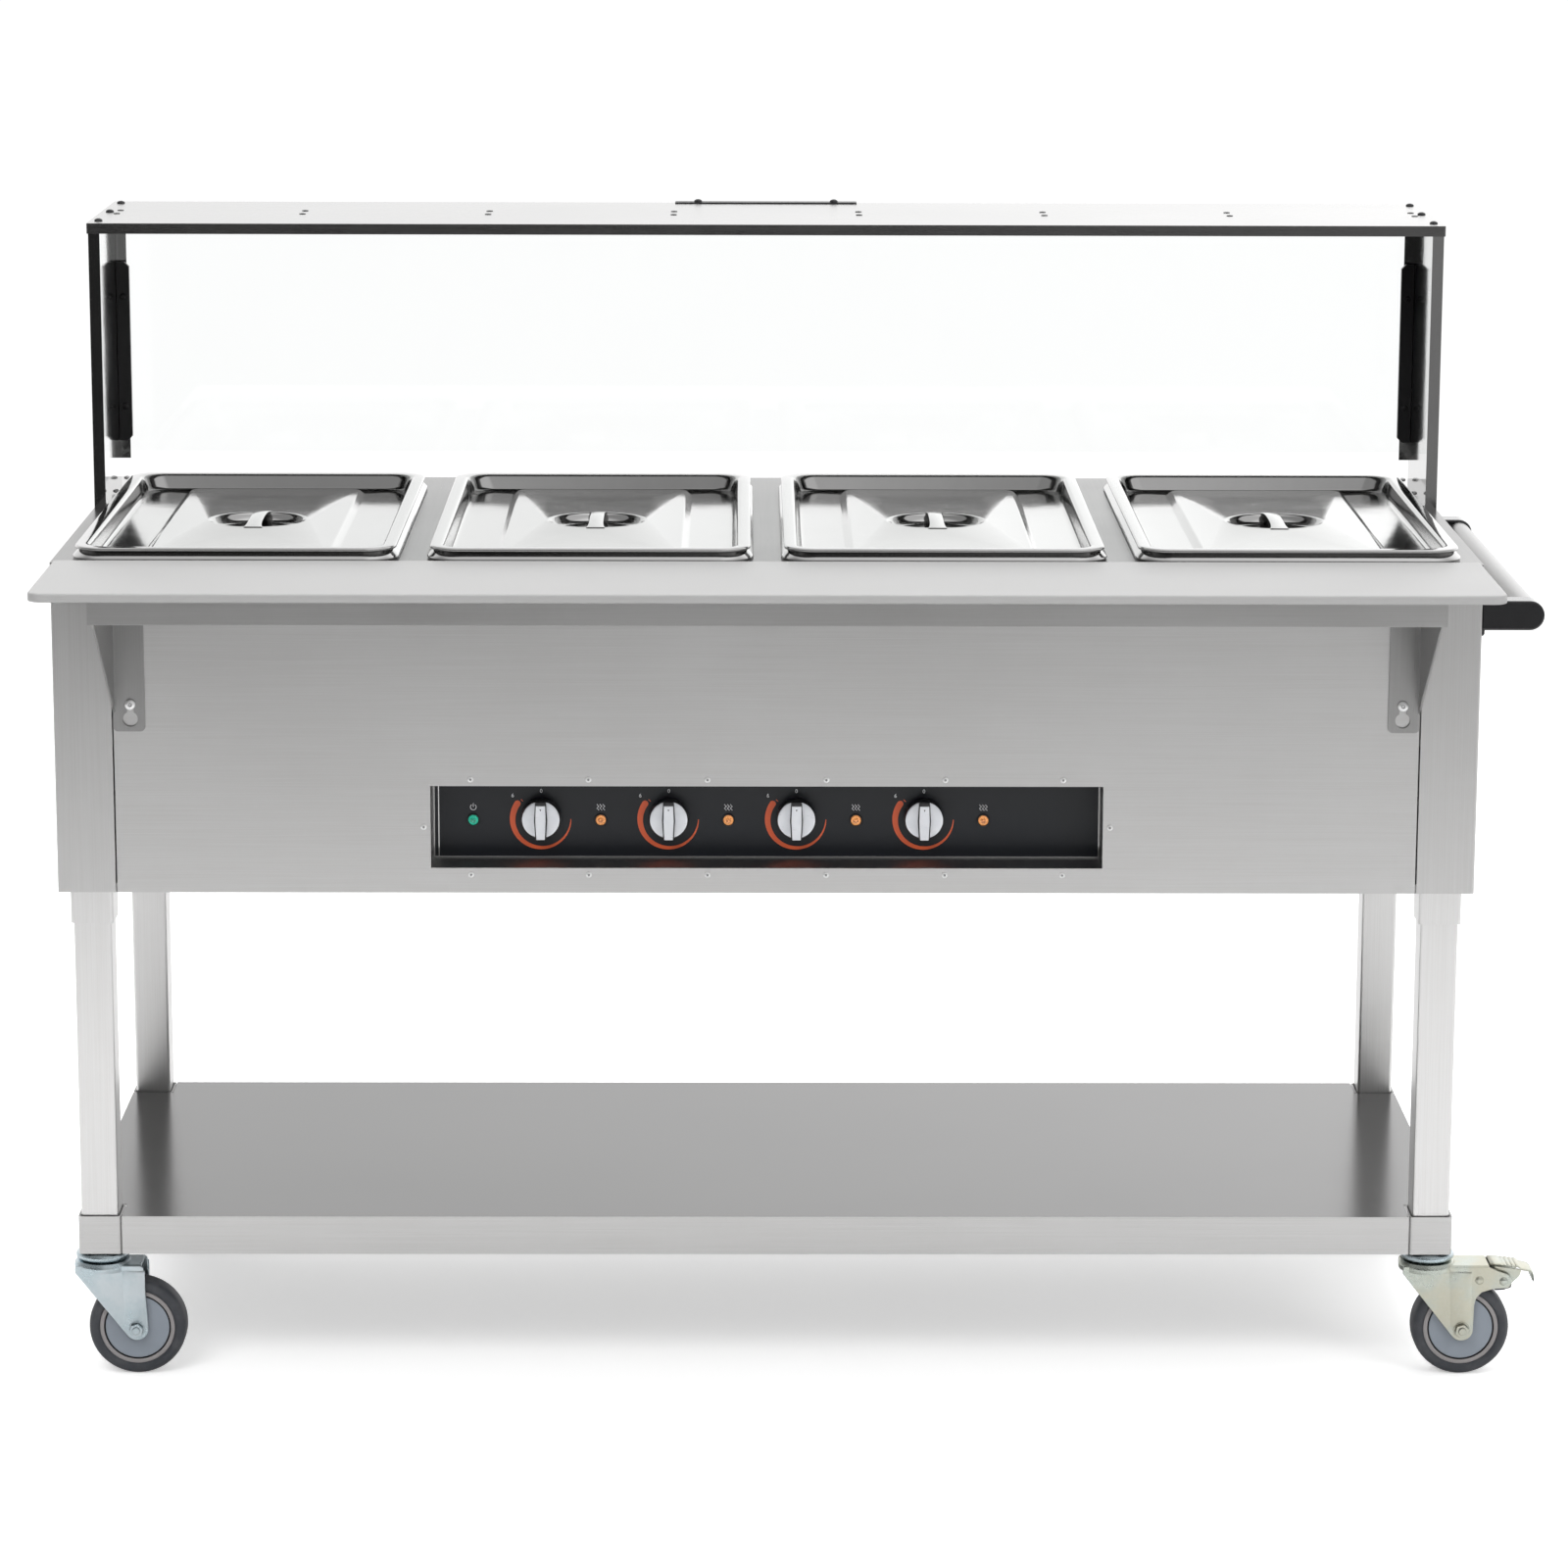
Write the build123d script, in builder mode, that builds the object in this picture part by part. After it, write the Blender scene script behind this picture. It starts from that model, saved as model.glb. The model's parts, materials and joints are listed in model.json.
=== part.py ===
from build123d import *
import os

os.makedirs("parts", exist_ok=True)

# ---------------------------------------------------------------- driving dimensions, millimetres
# Everything below is measured from a datum on the floor, under the middle of the front panel's
# face.  The datum stands off the origin so that the origin is under the middle of the whole unit.
datum_x = -38.0
datum_y = -204.0

sheet = 1.2                    # body sheet
body_half = 716.0              # half the body's width
body_depth = 590.0
body_bottom = 512.0
deck_top = 849.0
bend = 2.0                     # outside radius of the bent sheet corners
wrap_x = 657.5                 # where the side panels' returns end
panel_joint = 1.6              # gap beside the front and back panels
weld_gap = 0.05                # between the sheets of one welded part

leg_x = 682.5                  # leg centres
leg_front_y = 23.5
leg_back_y = 507.0
leg_size = 38.0
leg_wall = 1.5
socket_size = 43.0
sleeve_size = 44.0
socket_wall = 2.0
socket_bottom = 479.5
leg_top = 545.0

shelf_top = 171.0
shelf_lip = 40.0
shelf_half = 704.5
shelf_front_y = 1.5
shelf_back_y = 529.0

well_pitch = 355.5
well_centers = [(index - 1.5) * well_pitch for index in range(4)]
well_y = 268.0
well_width = 306.0
well_length = 506.0
well_bottom = 660.0
well_flange = 9.0

pan_width = 328.0
pan_length = 530.0
pan_radius = 34.0
pan_mouth_width = 300.0
pan_mouth_length = 502.0
pan_top = 862.0
pan_bottom = 705.0
pan_sheet = 1.0
bead_height = 1.5              # raised bead that each pan's rim rests on
deck_flange = 5.0

lid_width = 322.0
lid_length = 526.0
lid_floor = 845.0
lid_recess_width = 294.0
lid_recess_length = 496.0
platform_width = 192.0
platform_length = 452.0
platform_rise = 5.0
dish_radius = 49.0
dish_depth = 10.0
strap_width = 15.0

recess_half = 339.0            # control recess in the front panel
recess_bottom = 537.7
recess_top = 622.0
recess_depth = 50.0
control_z = (recess_bottom + recess_top) / 2
control_pitch = 129.8
first_knob_x = -229.4
lamp_step = 60.6
power_lamp_x = -298.5
knob_radius = 20.0

board_half = 712.0
board_front_y = -201.0
board_back_y = -1.0
board_top = 852.0
board_thickness = 9.0
beam_half = 658.5
beam_front_y = -165.0
beam_drop = 28.0
bracket_outer = 656.0
bracket_inner = 624.0
bracket_sheet = 2.0
bracket_reach = -150.0
bracket_bottom = 678.0
hook_x = 638.6                 # keyholes and the screws they hang on
hook_z = 705.6
keyhole_drop = 15.0

guard_half = 714.6
guard_front_y = 353.0
guard_back_y = 585.0
guard_flange = 12.0
roof_front_y = 350.0
roof_back_y = 600.0
roof_top = 1153.0
roof_lip = 11.0
glass_bottom = 879.0
glass_thickness = 5.0
rail_bottom = 892.0
rail_top = 1089.0
guard_screw_x = 706.0           # feet and roof tabs of the guard sides
guard_screw_ys = [375.0, 475.0, 575.0]
guard_screw_radius = 1.9
clip_screw_x = 74.5            # middle clip on the roof's back edge
rail_screw_zs = [930.0, 1051.0]

handle_x = 766.0
handle_z = 795.0
handle_radius = 12.5
handle_end_ys = [28.0, 559.0]

wheel_radius = 50.0
wheel_width = 32.0
caster_trail = 35.0
hub_radius = 38.5
race_radius = 27.5
fork_gap = 36.0
fork_sheet = 2.5
crown_top = 121.4
pedal_pivot_x = 77.0
pedal_pivot_z = 102.0

running = 0.05                 # radial clearance of a pin that turns in its hole


# ---------------------------------------------------------------- planes and saving
def level(z, x=0.0, y=0.0):
    """Horizontal plane: local x to the right, local y to the back."""
    return Plane(origin=(datum_x + x, datum_y + y, z))


def upright(y, x=0.0, z=0.0):
    """Plane parallel to the front: local x to the right, local y up, normal to the front."""
    return Plane(origin=(datum_x + x, datum_y + y, z), x_dir=(1, 0, 0), z_dir=(0, -1, 0))


def crosswise(x, y=0.0, z=0.0):
    """Plane across the width: local x to the back, local y up, normal to the right."""
    return Plane(origin=(datum_x + x, datum_y + y, z), x_dir=(0, 1, 0), z_dir=(1, 0, 0))


def save(builder, name):
    builder.part.label = name
    export_step(builder.part, f"parts/{name}.step")


def weld_cut(low, high):
    """Takes the thin box between two corners out of the part being built."""
    length = high[0] - low[0]
    depth = high[1] - low[1]
    height = high[2] - low[2]
    centre = (datum_x + low[0] + length / 2, datum_y + low[1] + depth / 2, low[2] + height / 2)
    with Locations(centre):
        Box(length, depth, height, mode=Mode.SUBTRACT)


def tube_ring(plane, size, wall, length):
    """Square tube with rounded corners, added to the part being built."""
    with BuildSketch(plane) as ring:
        RectangleRounded(size, size, wall * 1.8)
        RectangleRounded(size - 2 * wall, size - 2 * wall, wall * 0.8, mode=Mode.SUBTRACT)
    extrude(ring.sketch, amount=length)


def frustum(low_plane, low_size, high_plane, high_size, mode=Mode.ADD):
    """Loft between two rounded rectangles, each (width, length, radius)."""
    with BuildSketch(low_plane) as low:
        RectangleRounded(*low_size)
    with BuildSketch(high_plane) as high:
        RectangleRounded(*high_size)
    loft([low.sketch.face(), high.sketch.face()], mode=mode)


leg_places = [(side * leg_x, y) for y in (leg_front_y, leg_back_y) for side in (-1, 1)]
body_top = deck_top - sheet


# ---------------------------------------------------------------- body panels
def side_panel(side):
    """End wall with returns along the front and the back, bent from one sheet."""
    with BuildPart() as panel:
        with BuildSketch(level(body_bottom)):
            with BuildLine():
                Polyline(
                    (side * wrap_x, 0),
                    (side * body_half, 0),
                    (side * body_half, body_depth),
                    (side * wrap_x, body_depth),
                    (side * wrap_x, body_depth - sheet),
                    (side * (body_half - sheet), body_depth - sheet),
                    (side * (body_half - sheet), sheet),
                    (side * wrap_x, sheet),
                    close=True,
                )
            make_face()
            corners = vertices().group_by(Axis.X)
            fillet(corners[-1 if side > 0 else 0], radius=bend)
        extrude(amount=body_top - body_bottom)
    return panel


save(side_panel(-1), "left_side_panel")
save(side_panel(1), "right_side_panel")

face_screws = [(x, z) for z in (530.7, 628.8) for x in (-298.5, -179.7, -59.9, 59.9, 179.7, 298.5)]
face_screws += [(-346.0, control_z), (346.0, control_z)]
face_screw_radius = 1.6
hook_radius = 3.0

with BuildPart() as front_panel:
    with BuildSketch(upright(0)):
        with Locations((0, (body_bottom + body_top) / 2)):
            Rectangle(2 * (wrap_x - panel_joint), body_top - body_bottom)
        with Locations((0, control_z)):
            Rectangle(2 * recess_half, recess_top - recess_bottom, mode=Mode.SUBTRACT)
        with Locations(*face_screws):
            Circle(face_screw_radius, mode=Mode.SUBTRACT)
        with Locations((-hook_x, hook_z), (hook_x, hook_z)):
            Circle(hook_radius, mode=Mode.SUBTRACT)
    extrude(amount=-sheet)
    # Welded from four strips round the window.
    weld_cut((-wrap_x, 0, recess_top), (wrap_x, sheet, recess_top + weld_gap))
    weld_cut((-wrap_x, 0, recess_bottom - weld_gap), (wrap_x, sheet, recess_bottom))
save(front_panel, "front_panel")

gland_x = -560.0
gland_z = 560.0
gland_radius = 10.0

with BuildPart() as back_panel:
    with BuildSketch(upright(body_depth - sheet)):
        with Locations((0, (body_bottom + body_top) / 2)):
            Rectangle(2 * (wrap_x - panel_joint), body_top - body_bottom)
        with Locations((gland_x, gland_z)):
            Circle(gland_radius, mode=Mode.SUBTRACT)
        with Locations((0, 780)):
            with GridLocations(14, 60, 20, 1):
                SlotOverall(40, 5, rotation=90, mode=Mode.SUBTRACT)
    extrude(amount=-sheet)
save(back_panel, "back_panel")

with BuildPart() as top_deck:
    flange_inset = sheet + 0.3
    with BuildSketch(level(body_top)):
        with Locations((0, body_depth / 2)):
            RectangleRounded(2 * body_half, body_depth, bend)
        with Locations(*[(x, well_y) for x in well_centers]):
            Rectangle(well_width, well_length, mode=Mode.SUBTRACT)
    extrude(amount=sheet)
    with BuildSketch(level(deck_top)):
        with Locations(*[(x, well_y) for x in well_centers]):
            RectangleRounded(pan_width - 2.0, pan_length - 2.0, pan_radius - 1)
        with Locations(*[(x, well_y) for x in well_centers]):
            RectangleRounded(pan_width - 6.0, pan_length - 6.0, pan_radius - 3, mode=Mode.SUBTRACT)
    extrude(amount=bead_height)
    with BuildSketch(level(body_top)):
        outer_width = 2 * (body_half - flange_inset)
        outer_depth = body_depth - 2 * flange_inset
        with Locations((0, body_depth / 2)):
            Rectangle(outer_width, outer_depth)
            Rectangle(outer_width - 2 * sheet, outer_depth - 2 * sheet, mode=Mode.SUBTRACT)
    extrude(amount=-deck_flange)
    # Welded from a front and a back strip, two ends and three bars between the wells.
    cut_low = body_top - deck_flange
    cut_high = deck_top + bead_height
    for y in (well_y - well_length / 2, well_y + well_length / 2 - weld_gap):
        weld_cut((-body_half, y, cut_low), (body_half, y + weld_gap, cut_high))
save(top_deck, "top_deck")

with BuildPart() as bottom_cover:
    cover_half = body_half - sheet - 0.3
    cover_depth = body_depth - 2 * (sheet + 0.3)
    with BuildSketch(level(body_bottom)):
        with Locations((0, body_depth / 2)):
            Rectangle(2 * cover_half, cover_depth)
        with Locations(*leg_places):
            Rectangle(socket_size + 1.0, socket_size + 1.0, mode=Mode.SUBTRACT)
    extrude(amount=sheet)
    with BuildSketch(level(body_bottom + sheet)):
        with Locations((0, body_depth / 2)):
            Rectangle(2 * cover_half, cover_depth)
            Rectangle(2 * (cover_half - sheet), cover_depth - 2 * sheet, mode=Mode.SUBTRACT)
        with Locations(*leg_places):
            Rectangle(socket_size + 1.0, socket_size + 1.0, mode=Mode.SUBTRACT)
    extrude(amount=8.0)
    # The floor sheet and its four upstands are welded together.
    floor_top = body_bottom + sheet
    cover_front = sheet + 0.3
    cover_back = cover_front + cover_depth
    weld_cut((-cover_half, cover_front, floor_top), (cover_half, cover_back, floor_top + weld_gap))
    for y in (cover_front + sheet, cover_back - sheet - weld_gap):
        weld_cut((-cover_half, y, floor_top), (cover_half, y + weld_gap, floor_top + 8.0))
save(bottom_cover, "bottom_cover")

# ---------------------------------------------------------------- frame: sockets, legs, undershelf
with BuildPart() as leg_sockets:
    for x, y in leg_places:
        tube_ring(level(socket_bottom, x, y), socket_size, socket_wall, leg_top - socket_bottom)
save(leg_sockets, "leg_sockets")

shelf_bottom = shelf_top - shelf_lip
with BuildPart() as legs:
    for x, y in leg_places:
        tube_ring(level(shelf_bottom, x, y), leg_size, leg_wall, leg_top - shelf_bottom)
save(legs, "legs")

with BuildPart() as undershelf:
    shelf_mid_y = (shelf_front_y + shelf_back_y) / 2
    shelf_depth = shelf_back_y - shelf_front_y
    notch = sleeve_size + 1.2
    with BuildSketch(level(shelf_top - sheet)):
        with Locations((0, shelf_mid_y)):
            Rectangle(2 * shelf_half, shelf_depth)
        with Locations(*leg_places):
            Rectangle(notch, notch, mode=Mode.SUBTRACT)
    extrude(amount=sheet)
    with BuildSketch(level(shelf_bottom)):
        with Locations((0, shelf_mid_y)):
            Rectangle(2 * shelf_half, shelf_depth)
            Rectangle(2 * (shelf_half - sheet), shelf_depth - 2 * sheet, mode=Mode.SUBTRACT)
        with Locations(*leg_places):
            Rectangle(notch, notch, mode=Mode.SUBTRACT)
    extrude(amount=shelf_lip - sheet)
    # Hat channels that stiffen the shelf from below.
    for rib_x in (-330, 330):
        with BuildSketch(upright(shelf_front_y + 3)):
            with Locations((rib_x, shelf_top - sheet - 10)):
                Rectangle(60, 20)
                Rectangle(60 - 2 * sheet, 20 - 2 * sheet, mode=Mode.SUBTRACT)
        extrude(amount=-(shelf_depth - 6))
    # The lips and channels are welded under the shelf sheet.
    sheet_under = shelf_top - sheet
    low_corner = (-shelf_half, shelf_front_y, sheet_under - weld_gap)
    weld_cut(low_corner, (shelf_half, shelf_back_y, sheet_under))
    for x, y in leg_places:
        tube_ring(level(shelf_bottom, x, y), sleeve_size, socket_wall, shelf_lip)
save(undershelf, "undershelf")

# ---------------------------------------------------------------- water wells and heating
element_radius = 4.0
element_z = 678.0
element_half = 90.0
element_front_y = well_y - well_length / 2 - 8.0
element_back_y = well_y + 120.0

with BuildPart() as water_wells:
    for x in well_centers:
        with BuildSketch(level(well_bottom, x, well_y)):
            Rectangle(well_width + 2 * sheet, well_length + 2 * sheet)
        extrude(amount=body_top - well_bottom)
        with BuildSketch(level(body_top - sheet, x, well_y)):
            Rectangle(well_width + 2 * well_flange, well_length + 2 * well_flange)
        extrude(amount=sheet)
        with BuildSketch(level(well_bottom + sheet, x, well_y)):
            Rectangle(well_width, well_length)
        extrude(amount=body_top - well_bottom, mode=Mode.SUBTRACT)
        with BuildSketch(upright(element_front_y, x, element_z)):
            with Locations((-element_half, 0), (element_half, 0)):
                Circle(element_radius + running)
        extrude(amount=-20, mode=Mode.SUBTRACT)
        # Five welded sheets: front and back walls, two side walls and a floor.
        reach = well_width / 2 + well_flange + 1
        wall_front = well_y - well_length / 2
        wall_back = well_y + well_length / 2
        weld_cut((x - reach, wall_front, well_bottom), (x + reach, wall_front + weld_gap, body_top))
        weld_cut((x - reach, wall_back - weld_gap, well_bottom), (x + reach, wall_back, body_top))
        floor_top = well_bottom + sheet
        weld_cut((x - reach, wall_front, floor_top), (x + reach, wall_back, floor_top + weld_gap))
save(water_wells, "water_wells")

with BuildPart() as heating_elements:
    for x in well_centers:
        with BuildLine(level(element_z, x, 0)) as element_path:
            Line((-element_half, element_front_y), (-element_half, element_back_y))
            ThreePointArc(
                (-element_half, element_back_y),
                (0, element_back_y + element_half),
                (element_half, element_back_y),
            )
            Line((element_half, element_back_y), (element_half, element_front_y))
        with BuildSketch(upright(element_front_y, x, element_z)):
            with Locations((-element_half, 0)):
                Circle(element_radius)
        sweep(path=element_path.wires()[0])
save(heating_elements, "heating_elements")


# ---------------------------------------------------------------- pans and lids
def food_pan(x):
    """Deep pan: sloping rim, slightly tapered walls, pressed from one sheet."""
    rim_low = pan_top - 8.5
    mouth = (pan_mouth_width, pan_mouth_length)
    with BuildPart() as pan:
        rim_outer = (pan_width, pan_length, pan_radius)
        rim_inner = (mouth[0] + 6, mouth[1] + 6, 26)
        frustum(level(rim_low, x, well_y), rim_outer, level(pan_top, x, well_y), rim_inner)
        frustum(
            level(rim_low - pan_sheet, x, well_y),
            (pan_width - 1.6, pan_length - 1.6, pan_radius - 0.8),
            level(pan_top - pan_sheet, x, well_y),
            rim_inner,
            mode=Mode.SUBTRACT,
        )
        with BuildSketch(level(deck_top + bead_height, x, well_y)):
            RectangleRounded(*rim_outer)
            RectangleRounded(pan_width - 5, pan_length - 5, pan_radius - 2.5, mode=Mode.SUBTRACT)
        extrude(amount=rim_low - deck_top - bead_height + 0.6)
        frustum(
            level(pan_bottom, x, well_y),
            (mouth[0] - 14, mouth[1] - 14, 30),
            level(pan_top - pan_sheet, x, well_y),
            (mouth[0], mouth[1], 26),
        )
        with BuildSketch(level(pan_top - pan_sheet, x, well_y)):
            RectangleRounded(mouth[0] + 6, mouth[1] + 6, 26)
        extrude(amount=pan_sheet)
        frustum(
            level(pan_bottom + pan_sheet, x, well_y),
            (mouth[0] - 16, mouth[1] - 16, 29),
            level(pan_top, x, well_y),
            (mouth[0] - 2, mouth[1] - 2, 25),
            mode=Mode.SUBTRACT,
        )
    return pan


def food_lid(x):
    """Sunk lid: rim, recess, raised platform and a round dish crossed by a lifting strap."""
    floor_width = lid_recess_width - 8
    floor_length = lid_recess_length - 8
    platform_top = lid_floor + pan_sheet + platform_rise
    with BuildPart() as lid:
        with BuildSketch(level(pan_top, x, well_y)):
            RectangleRounded(lid_width, lid_length, 30)
        extrude(amount=pan_sheet)
        with BuildSketch(level(pan_top - 1.6, x, well_y)):
            RectangleRounded(lid_width, lid_length, 30)
            RectangleRounded(lid_width - 2.4, lid_length - 2.4, 28.8, mode=Mode.SUBTRACT)
        extrude(amount=1.6)
        frustum(
            level(lid_floor, x, well_y),
            (floor_width, floor_length, 26),
            level(pan_top, x, well_y),
            (lid_recess_width, lid_recess_length, 24),
        )
        frustum(
            level(lid_floor + pan_sheet, x, well_y),
            (floor_width - 2, floor_length - 2, 25),
            level(pan_top + pan_sheet, x, well_y),
            (lid_recess_width - 2, lid_recess_length - 2, 23),
            mode=Mode.SUBTRACT,
        )
        frustum(
            level(lid_floor + 0.4, x, well_y),
            (platform_width + 2, platform_length + 2, 12),
            level(platform_top, x, well_y),
            (platform_width - 8, platform_length - 8, 8),
        )
        frustum(
            level(lid_floor - 0.5, x, well_y),
            (platform_width, platform_length, 12),
            level(platform_top - pan_sheet, x, well_y),
            (platform_width - 10, platform_length - 10, 8),
            mode=Mode.SUBTRACT,
        )
        dish_bottom = platform_top - dish_depth
        with BuildSketch(level(dish_bottom, x, well_y)):
            Circle(dish_radius - 6)
        with BuildSketch(level(platform_top, x, well_y)):
            Circle(dish_radius)
        loft()
        with BuildSketch(level(dish_bottom + pan_sheet, x, well_y)):
            Circle(dish_radius - 7)
        with BuildSketch(level(platform_top + 0.2, x, well_y)):
            Circle(dish_radius - 1)
        loft(mode=Mode.SUBTRACT)
        # The strap bows a little above the platform from front to back.
        with BuildSketch(crosswise(x - strap_width / 2, well_y, platform_top)):
            with BuildLine():
                reach = dish_radius + 3
                ThreePointArc((-reach, 0.4), (0, 3.4), (reach, 0.4))
                Line((reach, 0.4), (reach, -0.5))
                Line((reach, -0.5), (dish_radius - 3, -0.5))
                ThreePointArc((dish_radius - 3, -0.5), (0, 1.6), (3 - dish_radius, -0.5))
                Line((3 - dish_radius, -0.5), (-reach, -0.5))
                Line((-reach, -0.5), (-reach, 0.4))
            make_face()
        extrude(amount=strap_width)
    return lid


for index, center in enumerate(well_centers, start=1):
    save(food_pan(center), f"food_pan_{index}")
    save(food_lid(center), f"food_lid_{index}")

# ---------------------------------------------------------------- controls
knob_places = [first_knob_x + index * control_pitch for index in range(4)]
lamp_places = [x + lamp_step for x in knob_places]
spindle_radius = 3.0
panel_thickness = 2.0
lamp_z = control_z - 3.0
lamp_body_radius = 5.0
lamp_hole_radius = 5.1
recess_mid = (0, control_z)
recess_height = recess_top - recess_bottom

with BuildPart() as control_box:
    with BuildSketch(upright(sheet)):
        with Locations(recess_mid):
            Rectangle(2 * recess_half + 30, recess_height + 30)
            Rectangle(2 * recess_half, recess_height, mode=Mode.SUBTRACT)
        with Locations(*face_screws):
            Circle(face_screw_radius, mode=Mode.SUBTRACT)
    extrude(amount=-sheet)
    with BuildSketch(upright(2 * sheet)):
        with Locations(recess_mid):
            Rectangle(2 * (recess_half + sheet), recess_height + 2 * sheet)
            Rectangle(2 * recess_half, recess_height, mode=Mode.SUBTRACT)
    extrude(amount=-(recess_depth - 2 * sheet))
save(control_box, "control_box")

with BuildPart() as control_panel:
    with BuildSketch(upright(recess_depth)):
        with Locations(recess_mid):
            Rectangle(2 * (recess_half + sheet), recess_height + 2 * sheet)
        with Locations(*[(x, control_z) for x in knob_places]):
            Circle(spindle_radius + 0.6, mode=Mode.SUBTRACT)
        with Locations(*[(x, lamp_z) for x in [power_lamp_x] + lamp_places]):
            Circle(lamp_hole_radius, mode=Mode.SUBTRACT)
    extrude(amount=-panel_thickness)
save(control_panel, "control_panel")


def pilot_lamps(places):
    """Domed lenses with their bodies behind the panel."""
    with BuildPart() as lamps:
        with BuildSketch(upright(recess_depth)):
            with Locations(*[(x, lamp_z) for x in places]):
                Circle(6.5)
        extrude(amount=3.5)
        fillet(lamps.edges().group_by(Axis.Y)[0], radius=2.5)
        with BuildSketch(upright(recess_depth)):
            with Locations(*[(x, lamp_z) for x in places]):
                Circle(lamp_body_radius)
        extrude(amount=-24)
    return lamps


save(pilot_lamps([power_lamp_x]), "power_lamp")
save(pilot_lamps(lamp_places), "heating_lamps")

knob_face_y = 26.0
knob_back_y = 48.6
for index, x in enumerate(knob_places, start=1):
    with BuildPart() as knob:
        with BuildSketch(upright(knob_back_y, x, control_z)):
            Circle(knob_radius)
        extrude(amount=knob_back_y - knob_face_y - 8)
        fillet(edges().group_by(Axis.Y)[0], radius=2.0)
        with BuildSketch(upright(knob_face_y + 9, x, control_z)):
            SlotOverall(2 * knob_radius - 3, 11, rotation=90)
        extrude(amount=9)
        with BuildSketch(upright(knob_back_y, x, control_z)):
            Circle(spindle_radius)
        extrude(amount=-17)
    save(knob, f"control_knob_{index}")

with BuildPart() as thermostats:
    for x in knob_places:
        with BuildSketch(upright(recess_depth + panel_thickness, x, control_z)):
            Circle(16)
            Circle(spindle_radius + running, mode=Mode.SUBTRACT)
        extrude(amount=-16)
        with BuildSketch(upright(recess_depth + panel_thickness + 16, x, control_z)):
            Rectangle(30, 30)
        extrude(amount=-8)
save(thermostats, "thermostats")

with BuildPart() as terminal_block:
    with BuildSketch(level(body_bottom + sheet, gland_x + 60, body_depth - 90)):
        Rectangle(64, 28)
    extrude(amount=20)
    with BuildSketch(level(body_bottom + sheet + 20, gland_x + 60, body_depth - 90)):
        with GridLocations(12, 0, 5, 1):
            Circle(3.5)
    extrude(amount=-8, mode=Mode.SUBTRACT)
save(terminal_block, "terminal_block")

with BuildPart() as cable_gland:
    with BuildSketch(upright(body_depth, gland_x, gland_z)):
        RegularPolygon(15, 6)
    extrude(amount=-6)
    with BuildSketch(upright(body_depth + 6, gland_x, gland_z)):
        Circle(12.5)
    extrude(amount=-13)
    fillet(edges().group_by(Axis.Y)[-1], radius=3.5)
    with BuildSketch(upright(body_depth, gland_x, gland_z)):
        Circle(gland_radius - running)
    extrude(amount=12)
    with BuildSketch(upright(body_depth - sheet, gland_x, gland_z)):
        RegularPolygon(14, 6)
    extrude(amount=5)
    with BuildSketch(upright(body_depth - 12, gland_x, gland_z)):
        Circle(5.0)
    extrude(amount=-40, mode=Mode.SUBTRACT)
save(cable_gland, "cable_gland")


def pan_screw(plane, head_radius, head_height, shank_radius, shank_length):
    """Round-headed screw standing on a plane, added to the part being built."""
    with BuildSketch(plane) as base:
        Circle(head_radius)
    with BuildSketch(plane.offset(head_height)) as crown:
        Circle(head_radius * 0.55)
    loft([base.sketch.face(), crown.sketch.face()])
    with BuildSketch(plane) as shank:
        Circle(shank_radius)
    extrude(shank.sketch, amount=-shank_length)


with BuildPart() as body_screws:
    for x, z in face_screws:
        pan_screw(upright(0, x, z), 2.9, 1.4, face_screw_radius - running, 5.0)
    for x in (-hook_x, hook_x):
        pan_screw(upright(-bracket_sheet - 0.5, x, hook_z), 5.2, 2.6, hook_radius - running, 8.0)
    for x in (-guard_screw_x, guard_screw_x):
        for y in guard_screw_ys:
            pan_screw(level(deck_top + sheet, x, y), 3.6, 2.0, guard_screw_radius, sheet)
save(body_screws, "body_screws")

# ---------------------------------------------------------------- work shelf: brackets, beam, board
board_bottom = board_top - board_thickness
beam_bottom = board_bottom - beam_drop
bracket_top = board_bottom - sheet

with BuildPart() as board_brackets:
    for side in (-1, 1):
        # Flange that hangs on the front panel by its keyhole.
        flange_x = side * (bracket_outer + bracket_inner) / 2
        with BuildSketch(upright(0)):
            with Locations((flange_x, (bracket_top + bracket_bottom) / 2)):
                Rectangle(bracket_outer - bracket_inner, bracket_top - bracket_bottom)
            fillet(vertices().group_by(Axis.Z)[0], radius=5)
            with Locations((side * hook_x, hook_z - keyhole_drop)):
                Circle(7.5, mode=Mode.SUBTRACT)
            with Locations((side * hook_x, hook_z - keyhole_drop / 2)):
                Rectangle(7.0, keyhole_drop, mode=Mode.SUBTRACT)
            with Locations((side * hook_x, hook_z)):
                Circle(3.5, mode=Mode.SUBTRACT)
        extrude(amount=bracket_sheet)
        # Triangular web on the outer side.
        web_x = bracket_outer - bracket_sheet if side > 0 else -bracket_outer
        with BuildSketch(crosswise(web_x)):
            with BuildLine():
                Polyline(
                    (-0.2, bracket_top),
                    (bracket_reach, bracket_top),
                    (bracket_reach, beam_bottom - 3),
                    (-bracket_sheet - 3, 700),
                    (-0.2, 696),
                    close=True,
                )
            make_face()
        extrude(amount=bracket_sheet)
        # Tab that carries the beam.
        with BuildSketch(level(bracket_top)):
            with Locations((flange_x, bracket_reach / 2 - 1)):
                Rectangle(bracket_outer - bracket_inner, -bracket_reach - 2)
        extrude(amount=-bracket_sheet)
save(board_brackets, "board_brackets")

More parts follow.
